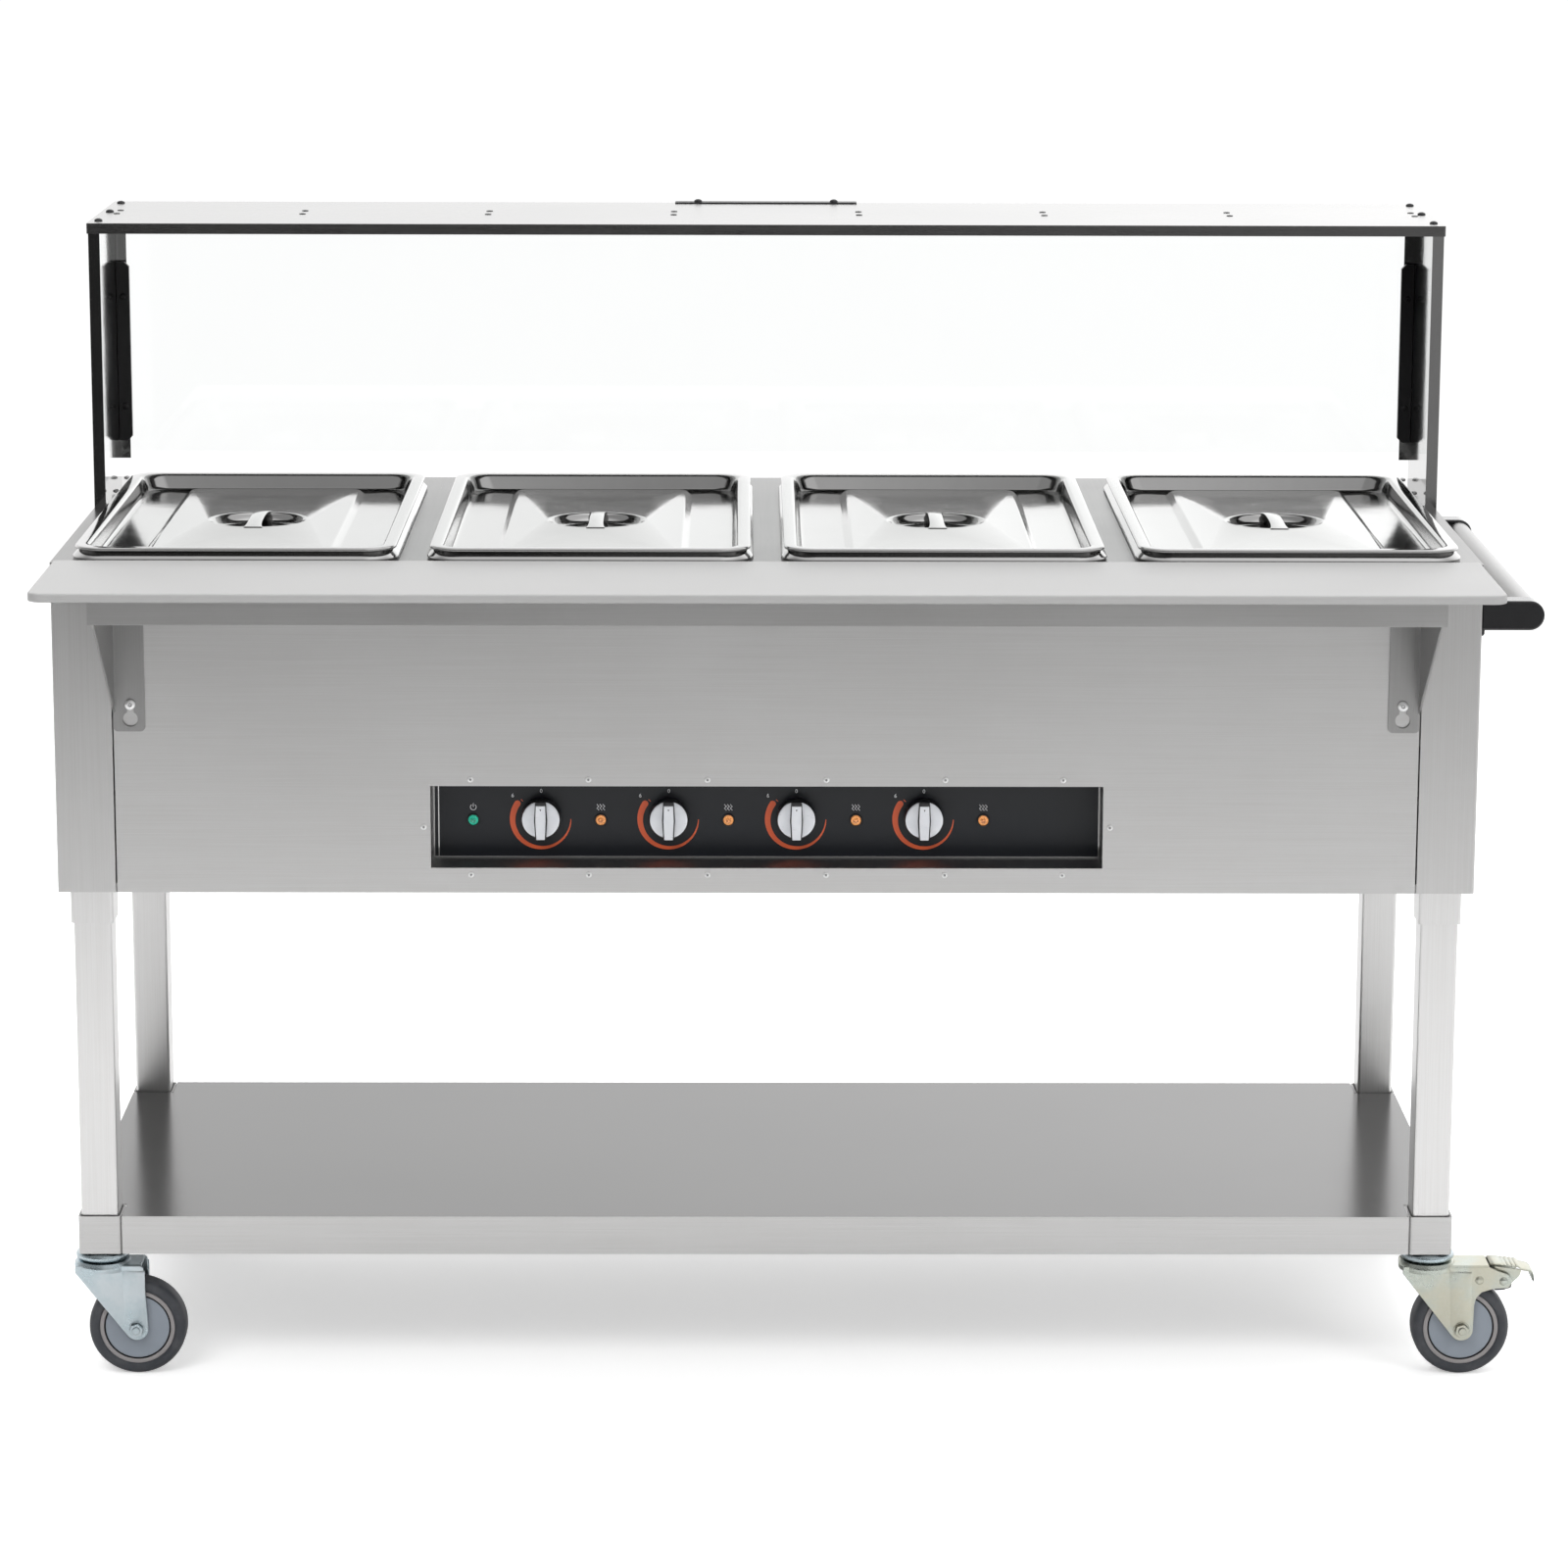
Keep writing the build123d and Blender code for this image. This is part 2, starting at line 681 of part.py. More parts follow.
with BuildPart() as board_beam:
    with BuildSketch(crosswise(-beam_half)):
        with BuildLine():
            Polyline(
                (-4, board_bottom),
                (beam_front_y, board_bottom),
                (beam_front_y, beam_bottom),
                (beam_front_y + 10, beam_bottom),
                (beam_front_y + 10, beam_bottom + sheet),
                (beam_front_y + sheet, beam_bottom + sheet),
                (beam_front_y + sheet, board_bottom - sheet),
                (-4, board_bottom - sheet),
                close=True,
            )
        make_face()
    extrude(amount=2 * beam_half)
save(board_beam, "board_beam")

with BuildPart() as cutting_board:
    with BuildSketch(level(board_bottom)):
        with Locations((0, (board_front_y + board_back_y) / 2)):
            Rectangle(2 * board_half, board_back_y - board_front_y)
        fillet(vertices().group_by(Axis.Y)[0], radius=14)
        fillet(vertices().group_by(Axis.Y)[-1], radius=3)
    extrude(amount=board_thickness)
    fillet(edges().group_by(Axis.Z)[-1], radius=1.6)
save(cutting_board, "cutting_board")

# ---------------------------------------------------------------- sneeze guard
roof_under = roof_top - sheet

with BuildPart() as guard_sides:
    for side in (-1, 1):
        web_x = guard_half - sheet if side > 0 else -guard_half
        web_depth = guard_back_y - guard_front_y
        with BuildSketch(crosswise(web_x)):
            with Locations(((guard_front_y + guard_back_y) / 2, (deck_top + roof_under) / 2)):
                Rectangle(web_depth, roof_under - deck_top)
        extrude(amount=sheet)
        flange_x = side * (guard_half - guard_flange / 2)
        with BuildSketch(upright(guard_front_y)):
            with Locations((flange_x, (deck_top + roof_under) / 2)):
                Rectangle(guard_flange, roof_under - deck_top)
        extrude(amount=-sheet)
        with BuildSketch(upright(guard_back_y)):
            with Locations((flange_x, (glass_bottom - 8 + roof_under) / 2)):
                Rectangle(guard_flange, roof_under - glass_bottom + 8)
        extrude(amount=sheet)
        # Bent feet on the deck and tabs under the roof.
        tab_x = side * (guard_half - 7.0)
        for z in (deck_top, roof_under - sheet):
            with BuildSketch(level(z)):
                with Locations((tab_x, (guard_front_y + guard_back_y) / 2)):
                    Rectangle(14.0, web_depth)
                with Locations(*[(side * guard_screw_x, y) for y in guard_screw_ys]):
                    Circle(guard_screw_radius + running, mode=Mode.SUBTRACT)
            extrude(amount=sheet)
save(guard_sides, "guard_sides")

lamp_bar_pitch = 199.0
lamp_bar_xs = [(index - 3.5) * lamp_bar_pitch for index in range(8)]
roof_screws = [(side * guard_screw_x, y) for side in (-1, 1) for y in guard_screw_ys]
clip_screws = [(side * clip_screw_x, roof_back_y - 7) for side in (-1, 1)]
with BuildPart() as guard_roof:
    roof_mid_y = (roof_front_y + roof_back_y) / 2
    roof_depth = roof_back_y - roof_front_y
    with BuildSketch(level(roof_under)):
        with Locations((0, roof_mid_y)):
            RectangleRounded(2 * body_half, roof_depth, bend)
        with Locations(*[(x, y) for x in lamp_bar_xs for y in (457.0, 493.0)]):
            Circle(2.25, mode=Mode.SUBTRACT)
        with Locations(*roof_screws, *clip_screws):
            Circle(guard_screw_radius + running, mode=Mode.SUBTRACT)
    extrude(amount=sheet)
    with BuildSketch(level(roof_under)):
        with Locations((0, roof_mid_y)):
            RectangleRounded(2 * body_half, roof_depth, bend)
            Rectangle(2 * (body_half - sheet), roof_depth - 2 * sheet, mode=Mode.SUBTRACT)
    extrude(amount=-(roof_lip - sheet))
    # The roof sheet and its four lips are welded together.
    lip_bottom = roof_under - (roof_lip - sheet)
    low_corner = (-body_half, roof_front_y, roof_under - weld_gap)
    weld_cut(low_corner, (body_half, roof_back_y, roof_under))
    for y in (roof_front_y + sheet, roof_back_y - sheet - weld_gap):
        weld_cut((-body_half, y, lip_bottom), (body_half, y + weld_gap, roof_under))
save(guard_roof, "guard_roof")

glass_back_y = guard_back_y - sheet
with BuildPart() as glass_pane:
    with BuildSketch(upright(glass_back_y)):
        glass_top = roof_under - sheet - 2.0
        with Locations((0, (glass_bottom + glass_top) / 2)):
            RectangleRounded(2 * (guard_half - sheet - 1.0), glass_top - glass_bottom, 4)
    extrude(amount=glass_thickness)
save(glass_pane, "glass_pane")

rail_back_y = glass_back_y - glass_thickness
rail_depth = 6.0
with BuildPart() as glass_clamps:
    for side in (-1, 1):
        with BuildSketch(upright(rail_back_y)):
            with Locations((side * (guard_half - sheet - 7.5), (rail_bottom + rail_top) / 2)):
                Rectangle(14.0, rail_top - rail_bottom)
            inner = vertices().group_by(Axis.X)[0 if side > 0 else -1]
            chamfer(inner, length=5)
            with Locations(*[(side * guard_screw_x, z) for z in rail_screw_zs]):
                Circle(guard_screw_radius + running, mode=Mode.SUBTRACT)
        extrude(amount=rail_depth)
    # Angle over the roof's back edge at the middle.
    with BuildSketch(crosswise(-99.5)):
        with BuildLine():
            Polyline(
                (roof_back_y - 15, roof_top),
                (roof_back_y - 15, roof_top + 1.5),
                (roof_back_y + 1.5, roof_top + 1.5),
                (roof_back_y + 1.5, roof_top - roof_lip),
                (roof_back_y, roof_top - roof_lip),
                (roof_back_y, roof_top),
                close=True,
            )
        make_face()
    extrude(amount=199)
    with BuildSketch(level(roof_top)):
        with Locations(*clip_screws):
            Circle(guard_screw_radius + running)
    extrude(amount=2, mode=Mode.SUBTRACT)
save(glass_clamps, "glass_clamps")

with BuildPart() as guard_screws:
    for x, y in roof_screws:
        pan_screw(level(roof_top, x, y), 4.2, 2.8, guard_screw_radius, 5.0)
    for x, y in clip_screws:
        pan_screw(level(roof_top + 1.5, x, y), 4.2, 2.8, guard_screw_radius, 5.0)
    for x in (-guard_screw_x, guard_screw_x):
        for z in rail_screw_zs:
            pan_screw(upright(rail_back_y - rail_depth, x, z), 3.6, 2.2, guard_screw_radius, 5.0)
save(guard_screws, "guard_screws")

# ---------------------------------------------------------------- push handle
with BuildPart() as handle_tube:
    with BuildSketch(upright(handle_end_ys[0] + 2, handle_x, handle_z)):
        Circle(handle_radius)
        Circle(handle_radius - 1.5, mode=Mode.SUBTRACT)
    extrude(amount=-(handle_end_ys[1] - handle_end_ys[0] - 4))
save(handle_tube, "handle_tube")

with BuildPart() as handle_ends:
    end_half = 15.0
    for y, inward in zip(handle_end_ys, (1, -1)):
        with BuildSketch(upright(y - inward * 14)):
            with Locations(((body_half + handle_x) / 2, handle_z)):
                Rectangle(handle_x - body_half, 2 * end_half)
            with Locations((handle_x, handle_z)):
                Circle(end_half)
        extrude(amount=-inward * 28)
        with BuildSketch(upright(y - inward * 14)):
            with Locations((body_half + 2.5, handle_z)):
                Rectangle(5, 44)
        extrude(amount=-inward * 28)
        with BuildSketch(upright(y, handle_x, handle_z)):
            Circle(handle_radius + 0.1)
        extrude(amount=-inward * 14, mode=Mode.SUBTRACT)
save(handle_ends, "handle_ends")

# ---------------------------------------------------------------- casters
king_radius = 5.0
axle_radius = 4.0
with BuildPart() as caster_stems:
    for x, y in leg_places:
        with BuildSketch(level(122.0, x, y)):
            Circle(race_radius)
        extrude(amount=9.0)
        with BuildSketch(level(131.0, x, y)):
            RectangleRounded(34, 34, 3)
        extrude(amount=40)
        with BuildSketch(level(108.0, x, y)):
            Circle(king_radius)
        extrude(amount=15)
        with BuildSketch(level(105.0, x, y)):
            Circle(9)
        extrude(amount=3)
save(caster_stems, "caster_stems")


def caster_fork(x, y, braked):
    """Pressed swivel fork: dished crown and two cheeks down to the axle."""
    crown_low = crown_top - 9.0
    cheek_reach = 43.0
    with BuildPart() as fork:
        with BuildSketch(level(crown_low, x, y)):
            Circle(29)
        extrude(amount=crown_top - crown_low)
        with BuildSketch(level(crown_low, x, y)):
            with Locations((cheek_reach / 2, 0)):
                Rectangle(cheek_reach, fork_gap + 2 * fork_sheet)
        extrude(amount=3.0)
        if braked:
            with BuildSketch(level(crown_low + 1.5, x, y)):
                with Locations((50, 0)):
                    Rectangle(20, 30)
            extrude(amount=3.0)
        for cheek_y in (-fork_gap / 2 - fork_sheet, fork_gap / 2):
            with BuildSketch(upright(y + cheek_y, x)):
                with BuildLine():
                    if braked:
                        Polyline(
                            (-25, crown_low + 4),
                            (60, crown_low + 4),
                            (84, 109),
                            (86, 99),
                            (60, 92),
                            (50, 84),
                            (47, 50),
                            (26, 42),
                            (-27, crown_low),
                            close=True,
                        )
                    else:
                        Polyline(
                            (-25, crown_low + 4),
                            (cheek_reach, crown_low + 4),
                            (47, 50),
                            (26, 42),
                            (-27, crown_low),
                            close=True,
                        )
                make_face()
                with Locations((caster_trail, wheel_radius)):
                    Circle(12)
                    Circle(axle_radius + running, mode=Mode.SUBTRACT)
                if braked:
                    with Locations((pedal_pivot_x, pedal_pivot_z)):
                        Circle(3.0 + running, mode=Mode.SUBTRACT)
            extrude(amount=-fork_sheet)
        with BuildSketch(level(crown_low - 1, x, y)):
            Circle(king_radius + running)
        extrude(amount=20, mode=Mode.SUBTRACT)
    return fork


def caster_bolts(x, y, braked):
    """Axle bolt with its nut, and the pedal's rivet where there is a brake."""
    half_width = fork_gap / 2 + fork_sheet
    with BuildPart() as bolts:
        with BuildSketch(upright(y - half_width - 8, x + caster_trail, wheel_radius)):
            Circle(axle_radius)
        extrude(amount=-(2 * half_width + 14))
        for face_y, direction in ((y - half_width, 1), (y + half_width, -1)):
            with BuildSketch(upright(face_y, x + caster_trail, wheel_radius)):
                Circle(8.5)
            extrude(amount=direction * 1.4)
            with BuildSketch(upright(face_y - direction * 1.4, x + caster_trail, wheel_radius)):
                RegularPolygon(7.4, 6)
            extrude(amount=direction * 5.5)
        if braked:
            with BuildSketch(upright(y - half_width - 1.5, x + pedal_pivot_x, pedal_pivot_z)):
                Circle(3.0)
            extrude(amount=-(2 * half_width + 3))
            for face_y, direction in ((y - half_width, 1), (y + half_width, -1)):
                with BuildSketch(upright(face_y, x + pedal_pivot_x, pedal_pivot_z)):
                    Circle(4.5)
                extrude(amount=direction * 1.5)
    return bolts


def tyre(x, y):
    """Rubber tread ring with rounded shoulders."""
    half = wheel_width / 2
    with BuildPart() as ring:
        with BuildSketch(upright(y, x + caster_trail, wheel_radius)):
            Circle(wheel_radius)
            Circle(hub_radius, mode=Mode.SUBTRACT)
        extrude(amount=half, both=True)
        rims = edges().filter_by(GeomType.CIRCLE).sort_by(SortBy.RADIUS)[-2:]
        fillet(rims, radius=6.0)
    return ring


def wheel_hub(x, y):
    """Plastic wheel centre: flat disc with a boss on each side."""
    with BuildPart() as hub:
        with BuildSketch(upright(y, x + caster_trail, wheel_radius)):
            Circle(hub_radius)
        extrude(amount=13.5, both=True)
        with BuildSketch(upright(y, x + caster_trail, wheel_radius)):
            Circle(10)
        extrude(amount=fork_gap / 2 - 0.4, both=True)
        with BuildSketch(upright(y, x + caster_trail, wheel_radius)):
            Circle(axle_radius + running)
        extrude(amount=30, both=True, mode=Mode.SUBTRACT)
    return hub


def brake_pedal(x, y):
    """Foot pedal with a brake shoe under its pivot."""
    with BuildPart() as pedal:
        with BuildSketch(upright(y - 14.5, x)):
            with BuildLine():
                Polyline(
                    (63, 112),
                    (64, 119.5),
                    (80, 117.5),
                    (92, 114),
                    (100, 112.5),
                    (107, 112),
                    (109.5, 100),
                    (106, 98.5),
                    (99, 104),
                    (88, 106),
                    (85, 96),
                    (76, 90),
                    (68, 88.6),
                    (68, 104),
                    close=True,
                )
            make_face()
            with Locations((pedal_pivot_x, pedal_pivot_z)):
                Circle(3.0 + running, mode=Mode.SUBTRACT)
        extrude(amount=-29)
    return pedal


corner_names = ["front_left", "front_right", "back_left", "back_right"]
braked_corners = ["front_right", "back_left"]
for corner, (x, y) in zip(corner_names, leg_places):
    braked = corner in braked_corners
    save(caster_fork(x, y, braked), f"caster_fork_{corner}")
    save(caster_bolts(x, y, braked), f"caster_bolts_{corner}")
    save(tyre(x, y), f"tyre_{corner}")
    save(wheel_hub(x, y), f"wheel_hub_{corner}")
    if braked:
        save(brake_pedal(x, y), f"brake_pedal_{corner}")
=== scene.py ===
import json
from math import cos, pi, radians, sin

import bmesh
import bpy
from mathutils import Matrix, Vector


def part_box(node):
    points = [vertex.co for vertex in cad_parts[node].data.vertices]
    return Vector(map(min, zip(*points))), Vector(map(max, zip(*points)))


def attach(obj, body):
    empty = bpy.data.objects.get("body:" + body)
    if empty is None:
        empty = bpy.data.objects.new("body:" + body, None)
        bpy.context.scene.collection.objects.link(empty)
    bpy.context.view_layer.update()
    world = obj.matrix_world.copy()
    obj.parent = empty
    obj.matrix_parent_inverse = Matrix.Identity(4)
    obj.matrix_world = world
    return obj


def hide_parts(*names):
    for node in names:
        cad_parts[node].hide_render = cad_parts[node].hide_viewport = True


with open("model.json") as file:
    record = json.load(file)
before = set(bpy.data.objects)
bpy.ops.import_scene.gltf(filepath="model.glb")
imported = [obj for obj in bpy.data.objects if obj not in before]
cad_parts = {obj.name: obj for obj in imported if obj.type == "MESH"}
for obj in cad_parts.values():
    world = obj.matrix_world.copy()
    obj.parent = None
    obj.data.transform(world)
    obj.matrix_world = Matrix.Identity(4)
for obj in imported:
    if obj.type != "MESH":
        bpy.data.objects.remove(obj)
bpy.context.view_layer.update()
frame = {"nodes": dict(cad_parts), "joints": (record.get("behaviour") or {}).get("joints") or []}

nodes = frame["nodes"]
joints = {joint["name"]: joint for joint in frame["joints"]}
corners = ["front_left", "front_right", "back_left", "back_right"]
scene = bpy.context.scene
mm = 0.001
front = (0, -1, 0)

panel_low, panel_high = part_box("front_panel")
datum = Vector(((panel_low.x + panel_high.x) / 2, panel_low.y, 0.0))


def offset(x, y, z):
    """A step given in millimetres."""
    return Vector((x, y, z)) * mm


def place(x, y, z):
    """A point given in millimetres from the floor under the middle of the front panel."""
    return datum + offset(x, y, z)


def middle(node):
    low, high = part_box(node)
    return (low + high) / 2


def footprint(node):
    """A node's middle at floor level, then its width, length, bottom and top in millimetres."""
    low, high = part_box(node)
    centre = Vector(((low.x + high.x) / 2, (low.y + high.y) / 2, 0))
    return centre, (high.x - low.x) / mm, (high.y - low.y) / mm, low.z / mm, high.z / mm


def stand(name, data):
    """A new object in the scene."""
    made = bpy.data.objects.new(name, data)
    scene.collection.objects.link(made)
    return made


# ---------------------------------------------------------------- camera
camera_data = bpy.data.cameras.new("camera")
camera_data.lens = 117.8
camera_data.sensor_width = 36.0
camera_data.clip_end = 60.0
camera = stand("camera", camera_data)
yaw, pitch, roll = -0.0077, -0.2055, 0.0029
turn = Matrix.Rotation(yaw, 4, "Z") @ Matrix.Rotation(pi / 2 + pitch, 4, "X") @ Matrix.Rotation(roll, 4, "Z")
camera.matrix_world = Matrix.Translation(place(-21.8, -5057.6, 1678.9)) @ turn
scene.camera = camera


# ---------------------------------------------------------------- node trees
class Signal:
    """A value flowing through a node tree; arithmetic on it adds Math nodes."""

    def __init__(self, owner, socket):
        self.owner = owner
        self.socket = socket

    def math(self, operation, *values):
        return self.owner.add("ShaderNodeMath", {"operation": operation}, dict(enumerate(values)))

    def root(self):
        return self.math("SQRT", self)

    def __add__(self, other):
        return self.math("ADD", self, other)

    def __sub__(self, other):
        return self.math("SUBTRACT", self, other)

    def __rsub__(self, other):
        return self.math("SUBTRACT", other, self)

    def __mul__(self, other):
        return self.math("MULTIPLY", self, other)

    def __truediv__(self, other):
        return self.math("DIVIDE", self, other)

    def __pow__(self, other):
        return self.math("POWER", self, other)

    def __gt__(self, other):
        return self.math("GREATER_THAN", self, other)

    def __lt__(self, other):
        return self.math("LESS_THAN", self, other)

    __radd__ = __add__
    __rmul__ = __mul__


class NodeTree:
    """A node tree that grows one node at a time."""

    def __init__(self, tree):
        self.tree = tree

    def add(self, kind, settings=None, values=None, output=0):
        """One node: its settings first, then the numbers or signals of its sockets."""
        node = self.tree.nodes.new(kind)
        for name, setting in (settings or {}).items():
            setattr(node, name, setting)
        for name, value in (values or {}).items():
            if isinstance(value, Signal):
                self.tree.links.new(value.socket, node.inputs[name])
            else:
                node.inputs[name].default_value = value
        return Signal(self, node.outputs[output]) if node.outputs else None

    def axes(self, vector):
        """The x, y and z of a vector."""
        values = {"Vector": vector}
        return [self.add("ShaderNodeSeparateXYZ", values=values, output=index) for index in range(3)]


class Paint(NodeTree):
    """A node material, patterned on the piece's own Object coordinates."""

    def __init__(self, name, owner=None, coordinates="Object"):
        self.material = owner or bpy.data.materials.new(name)
        self.material.use_nodes = True
        super().__init__(self.material.node_tree)
        self.tree.nodes.clear()
        self.coordinates = self.add("ShaderNodeTexCoord", output=coordinates)

    def noise(self, cells, detail=2.0, roughness=0.5, offset=(0, 0, 0)):
        """Noise with its own number of cells per metre along each axis."""
        spread = {"Vector": self.coordinates, "Location": offset, "Scale": cells}
        where = self.add("ShaderNodeMapping", values=spread)
        values = {"Vector": where, "Scale": 1.0, "Detail": detail, "Roughness": roughness}
        return self.add("ShaderNodeTexNoise", values=values)

    def cells(self, size, output="Distance", randomness=1.0, **settings):
        values = {"Vector": self.coordinates, "Scale": 1 / size, "Randomness": randomness}
        return self.add("ShaderNodeTexVoronoi", settings, values, output)

    def openness(self, reach):
        """1 on open surfaces, less in corners that are tighter than reach: the mask for painted shade."""
        settings = {"samples": 8, "only_local": True}
        return self.add("ShaderNodeAmbientOcclusion", settings, {"Distance": reach}, "AO")

    def ramp(self, value, low, high):
        """0 below low, 1 above high, smooth between."""
        settings = {"interpolation_type": "SMOOTHSTEP"}
        return self.add("ShaderNodeMapRange", settings, {"Value": value, "From Min": low, "From Max": high})

    def mix(self, mask, low, high):
        return self.add("ShaderNodeMix", {"data_type": "RGBA"}, {0: mask, 6: low, 7: high}, 2)

    def finish(self, color, roughness, height=None, depth=0.0, edge=0.0, **constants):
        """Principled surface; height from 0 to 1 is raised by depth, edge rounds sharp folds."""
        values = {"Base Color": color, "Roughness": roughness}
        values.update({name.replace("_", " "): value for name, value in constants.items()})
        if height is not None:
            bump = {"Height": height, "Distance": depth, "Strength": 1.0}
            if edge:
                bump["Normal"] = self.add("ShaderNodeBevel", {"samples": 4}, {"Radius": edge})
            values["Normal"] = self.add("ShaderNodeBump", values=bump)
        return self.cover(self.add("ShaderNodeBsdfPrincipled", values=values))

    def cover(self, shader):
        """Ends the material in this shader."""
        self.add("ShaderNodeOutputMaterial", values={"Surface": shader})
        return self.material


# ---------------------------------------------------------------- materials
def gray(value, warmth=0.0):
    return (value * (1 + warmth), value, value * (1 - warmth), 1.0)


def shade(color, factor):
    return tuple(min(1.0, channel * factor) for channel in color[:3]) + (1.0,)


def brushed_steel(name, grain, tone, polish, edge=0.7 * mm, painted_side_tone=None):
    """Sheet brushed along one axis: fine lines and faint smears. With a side tone given, the faces that don't
    look upwards get a tone of their own: painted light and shade, set by which way a face looks."""
    paint = Paint(name)
    fine = paint.noise([7 if axis == grain else 1300 for axis in "XYZ"], 3.0, 0.6)
    broad = paint.noise([3 if axis == grain else 260 for axis in "XYZ"], 2.0, 0.5, (3, 5, 7))
    smear = paint.noise((5, 5, 5), 4.0, 0.6, (11, 2, 4))
    lines = fine * 0.8 + broad * 0.2
    mask = paint.ramp(lines * 0.7 + smear * 0.3, 0.35, 0.65)
    color = paint.mix(mask, gray(tone * 0.95, 0.010), gray(tone * 1.03, 0.004))
    if painted_side_tone is not None:
        # Painted light and shade: upward faces and the other faces get different tones of the same steel.
        normal = paint.add("ShaderNodeNewGeometry", output="Normal")
        upward = paint.add("ShaderNodeSeparateXYZ", values={"Vector": normal}, output=2)
        side = paint.mix(mask, gray(painted_side_tone * 0.93, 0.010), gray(painted_side_tone * 1.05, 0.004))
        color = paint.mix(paint.ramp(upward, 0.3, 0.7), side, color)
    roughness = lines * 0.12 + smear * 0.10 + (polish - 0.11)
    return paint.finish(color, roughness, lines, 0.02 * mm, edge, Metallic=1.0)


def polished_steel(name, tone, polish):
    """Pressed and polished sheet: near mirror, with wipe marks and a slight orange peel."""
    paint = Paint(name)
    wipes = paint.noise((9, 30, 9), 3.0, 0.6)
    haze = paint.noise((14, 14, 14), 4.0, 0.65, (4, 1, 9))
    peel = paint.noise((60, 60, 60), 1.0, 0.4)
    scratches = paint.ramp(paint.noise((1400, 25, 1400), 2.0, 0.7), 0.62, 0.80)
    color = paint.mix(haze, gray(tone * 0.94, 0.008), gray(tone * 1.04, 0.004))
    roughness = wipes * 0.07 + haze * 0.07 + scratches * 0.10 + (polish - 0.07)
    return paint.finish(color, roughness, peel + scratches * 0.03, 0.05 * mm, Metallic=1.0)


def moulded_plastic(name, color, roughness, grain=0.5 * mm, depth=0.03 * mm, mottle=0.10, **constants):
    """Moulded or painted surface with a fine texture and slightly uneven gloss."""
    paint = Paint(name)
    texture = paint.noise([1 / grain] * 3, 2.0, 0.5)
    cloud = paint.noise((30, 30, 30), 3.0, 0.6)
    tone = paint.mix(cloud, shade(color, 1 - mottle), shade(color, 1 + mottle))
    gloss = texture * 0.06 + cloud * 0.10 + (roughness - 0.08)
    return paint.finish(tone, gloss, texture, depth, **constants)


def zinc_plate(name, cool, warm):
    """Bright zinc: passivation tint that drifts over the pressing, a soft spangle, and painted shade in its
    creases.
    """
    paint = Paint(name)
    drift = paint.ramp(paint.noise((28, 28, 28), 3.0, 0.6), 0.35, 0.65)
    spangle = paint.cells(2.5 * mm, "Color")
    grain = paint.noise((700, 700, 700), 2.0, 0.5)
    tint = paint.mix(drift, cool, warm)
    color = paint.mix(spangle * 0.10, tint, gray(0.8))
    # Painted shade: the colour darkens to near black in creases and tight corners.
    color = paint.mix(paint.ramp(paint.openness(2.5 * mm), 0.35, 0.9), gray(0.10), color)
    roughness = grain * 0.10 + drift * 0.08 + 0.22
    return paint.finish(color, roughness, grain, 0.02 * mm, Metallic=1.0)


def board_plastic():
    """Cutting board: pale polyethylene with a pebbled top, knife marks and a few stains."""
    paint = Paint("board_plastic")
    pebble = paint.cells(1.1 * mm, feature="SMOOTH_F1")
    cuts = paint.ramp(paint.noise((9, 700, 60), 2.0, 0.7), 0.66, 0.74)
    slant = paint.ramp(paint.noise((420, 14, 60), 2.0, 0.7, (5, 8, 1)), 0.68, 0.76)
    cloud = paint.noise((3, 6, 3), 4.0, 0.6)
    marks = (cuts + slant) * 0.5
    color = paint.mix(cloud, gray(0.345, 0.004), gray(0.38, 0.004))
    color = paint.mix(marks * 0.35, color, gray(0.29, 0.01))
    roughness = pebble * 0.10 + cloud * 0.08 + 0.42
    return paint.finish(color, roughness, pebble * 0.5 - marks, 0.05 * mm)


def tinted_glass():
    """Clear guard pane, with wiped haze and a faint green body colour."""
    paint = Paint("clear_glass")
    haze = paint.noise((6, 6, 9), 4.0, 0.6)
    wipes = paint.noise((40, 40, 12), 3.0, 0.6)
    clear = paint.add("ShaderNodeBsdfTransparent", values={"Color": (0.99, 0.995, 0.993, 1.0)})
    values = {"Color": gray(0.95), "Roughness": haze * 0.02 + 0.01}
    gloss = paint.add("ShaderNodeBsdfGlossy", values=values)
    mirror = paint.add("ShaderNodeFresnel", values={"IOR": 1.45})
    factor = mirror * 0.75 + (haze * wipes) * 0.012
    return paint.cover(paint.add("ShaderNodeMixShader", values={0: factor, 1: clear, 2: gloss}))


def lamp_lens(name, deep, bright):
    """Pilot lamp lens moulded with small prisms that catch the light behind it."""
    paint = Paint(name)
    prisms = paint.cells(1.0 * mm, feature="F1", distance="CHEBYCHEV", randomness=0.25)
    edges = paint.ramp(prisms, 0.30, 0.50)
    cloud = paint.noise((300, 300, 300), 2.0, 0.5)
    color = paint.mix(edges, bright, deep)
    glow = paint.mix(edges, shade(bright, 0.7), (0, 0, 0, 1.0))
    surface = {"Emission_Color": glow, "Emission_Strength": 0.55, "Coat_Weight": 0.6, "Coat_Roughness": 0.05}
    return paint.finish(color, cloud * 0.1 + 0.12, prisms, 0.4 * mm, **surface)


def knob_silver():
    """Silver knob face with a faint satin grain."""
    paint = Paint("knob_silver")
    grain = paint.noise((60, 60, 3000), 2.0, 0.5)
    cloud = paint.noise((90, 90, 90), 3.0, 0.6)
    color = paint.mix(cloud, (0.66, 0.68, 0.72, 1.0), (0.80, 0.81, 0.84, 1.0))
    return paint.finish(color, grain * 0.12 + 0.24, grain, 0.01 * mm, Metallic=0.55)


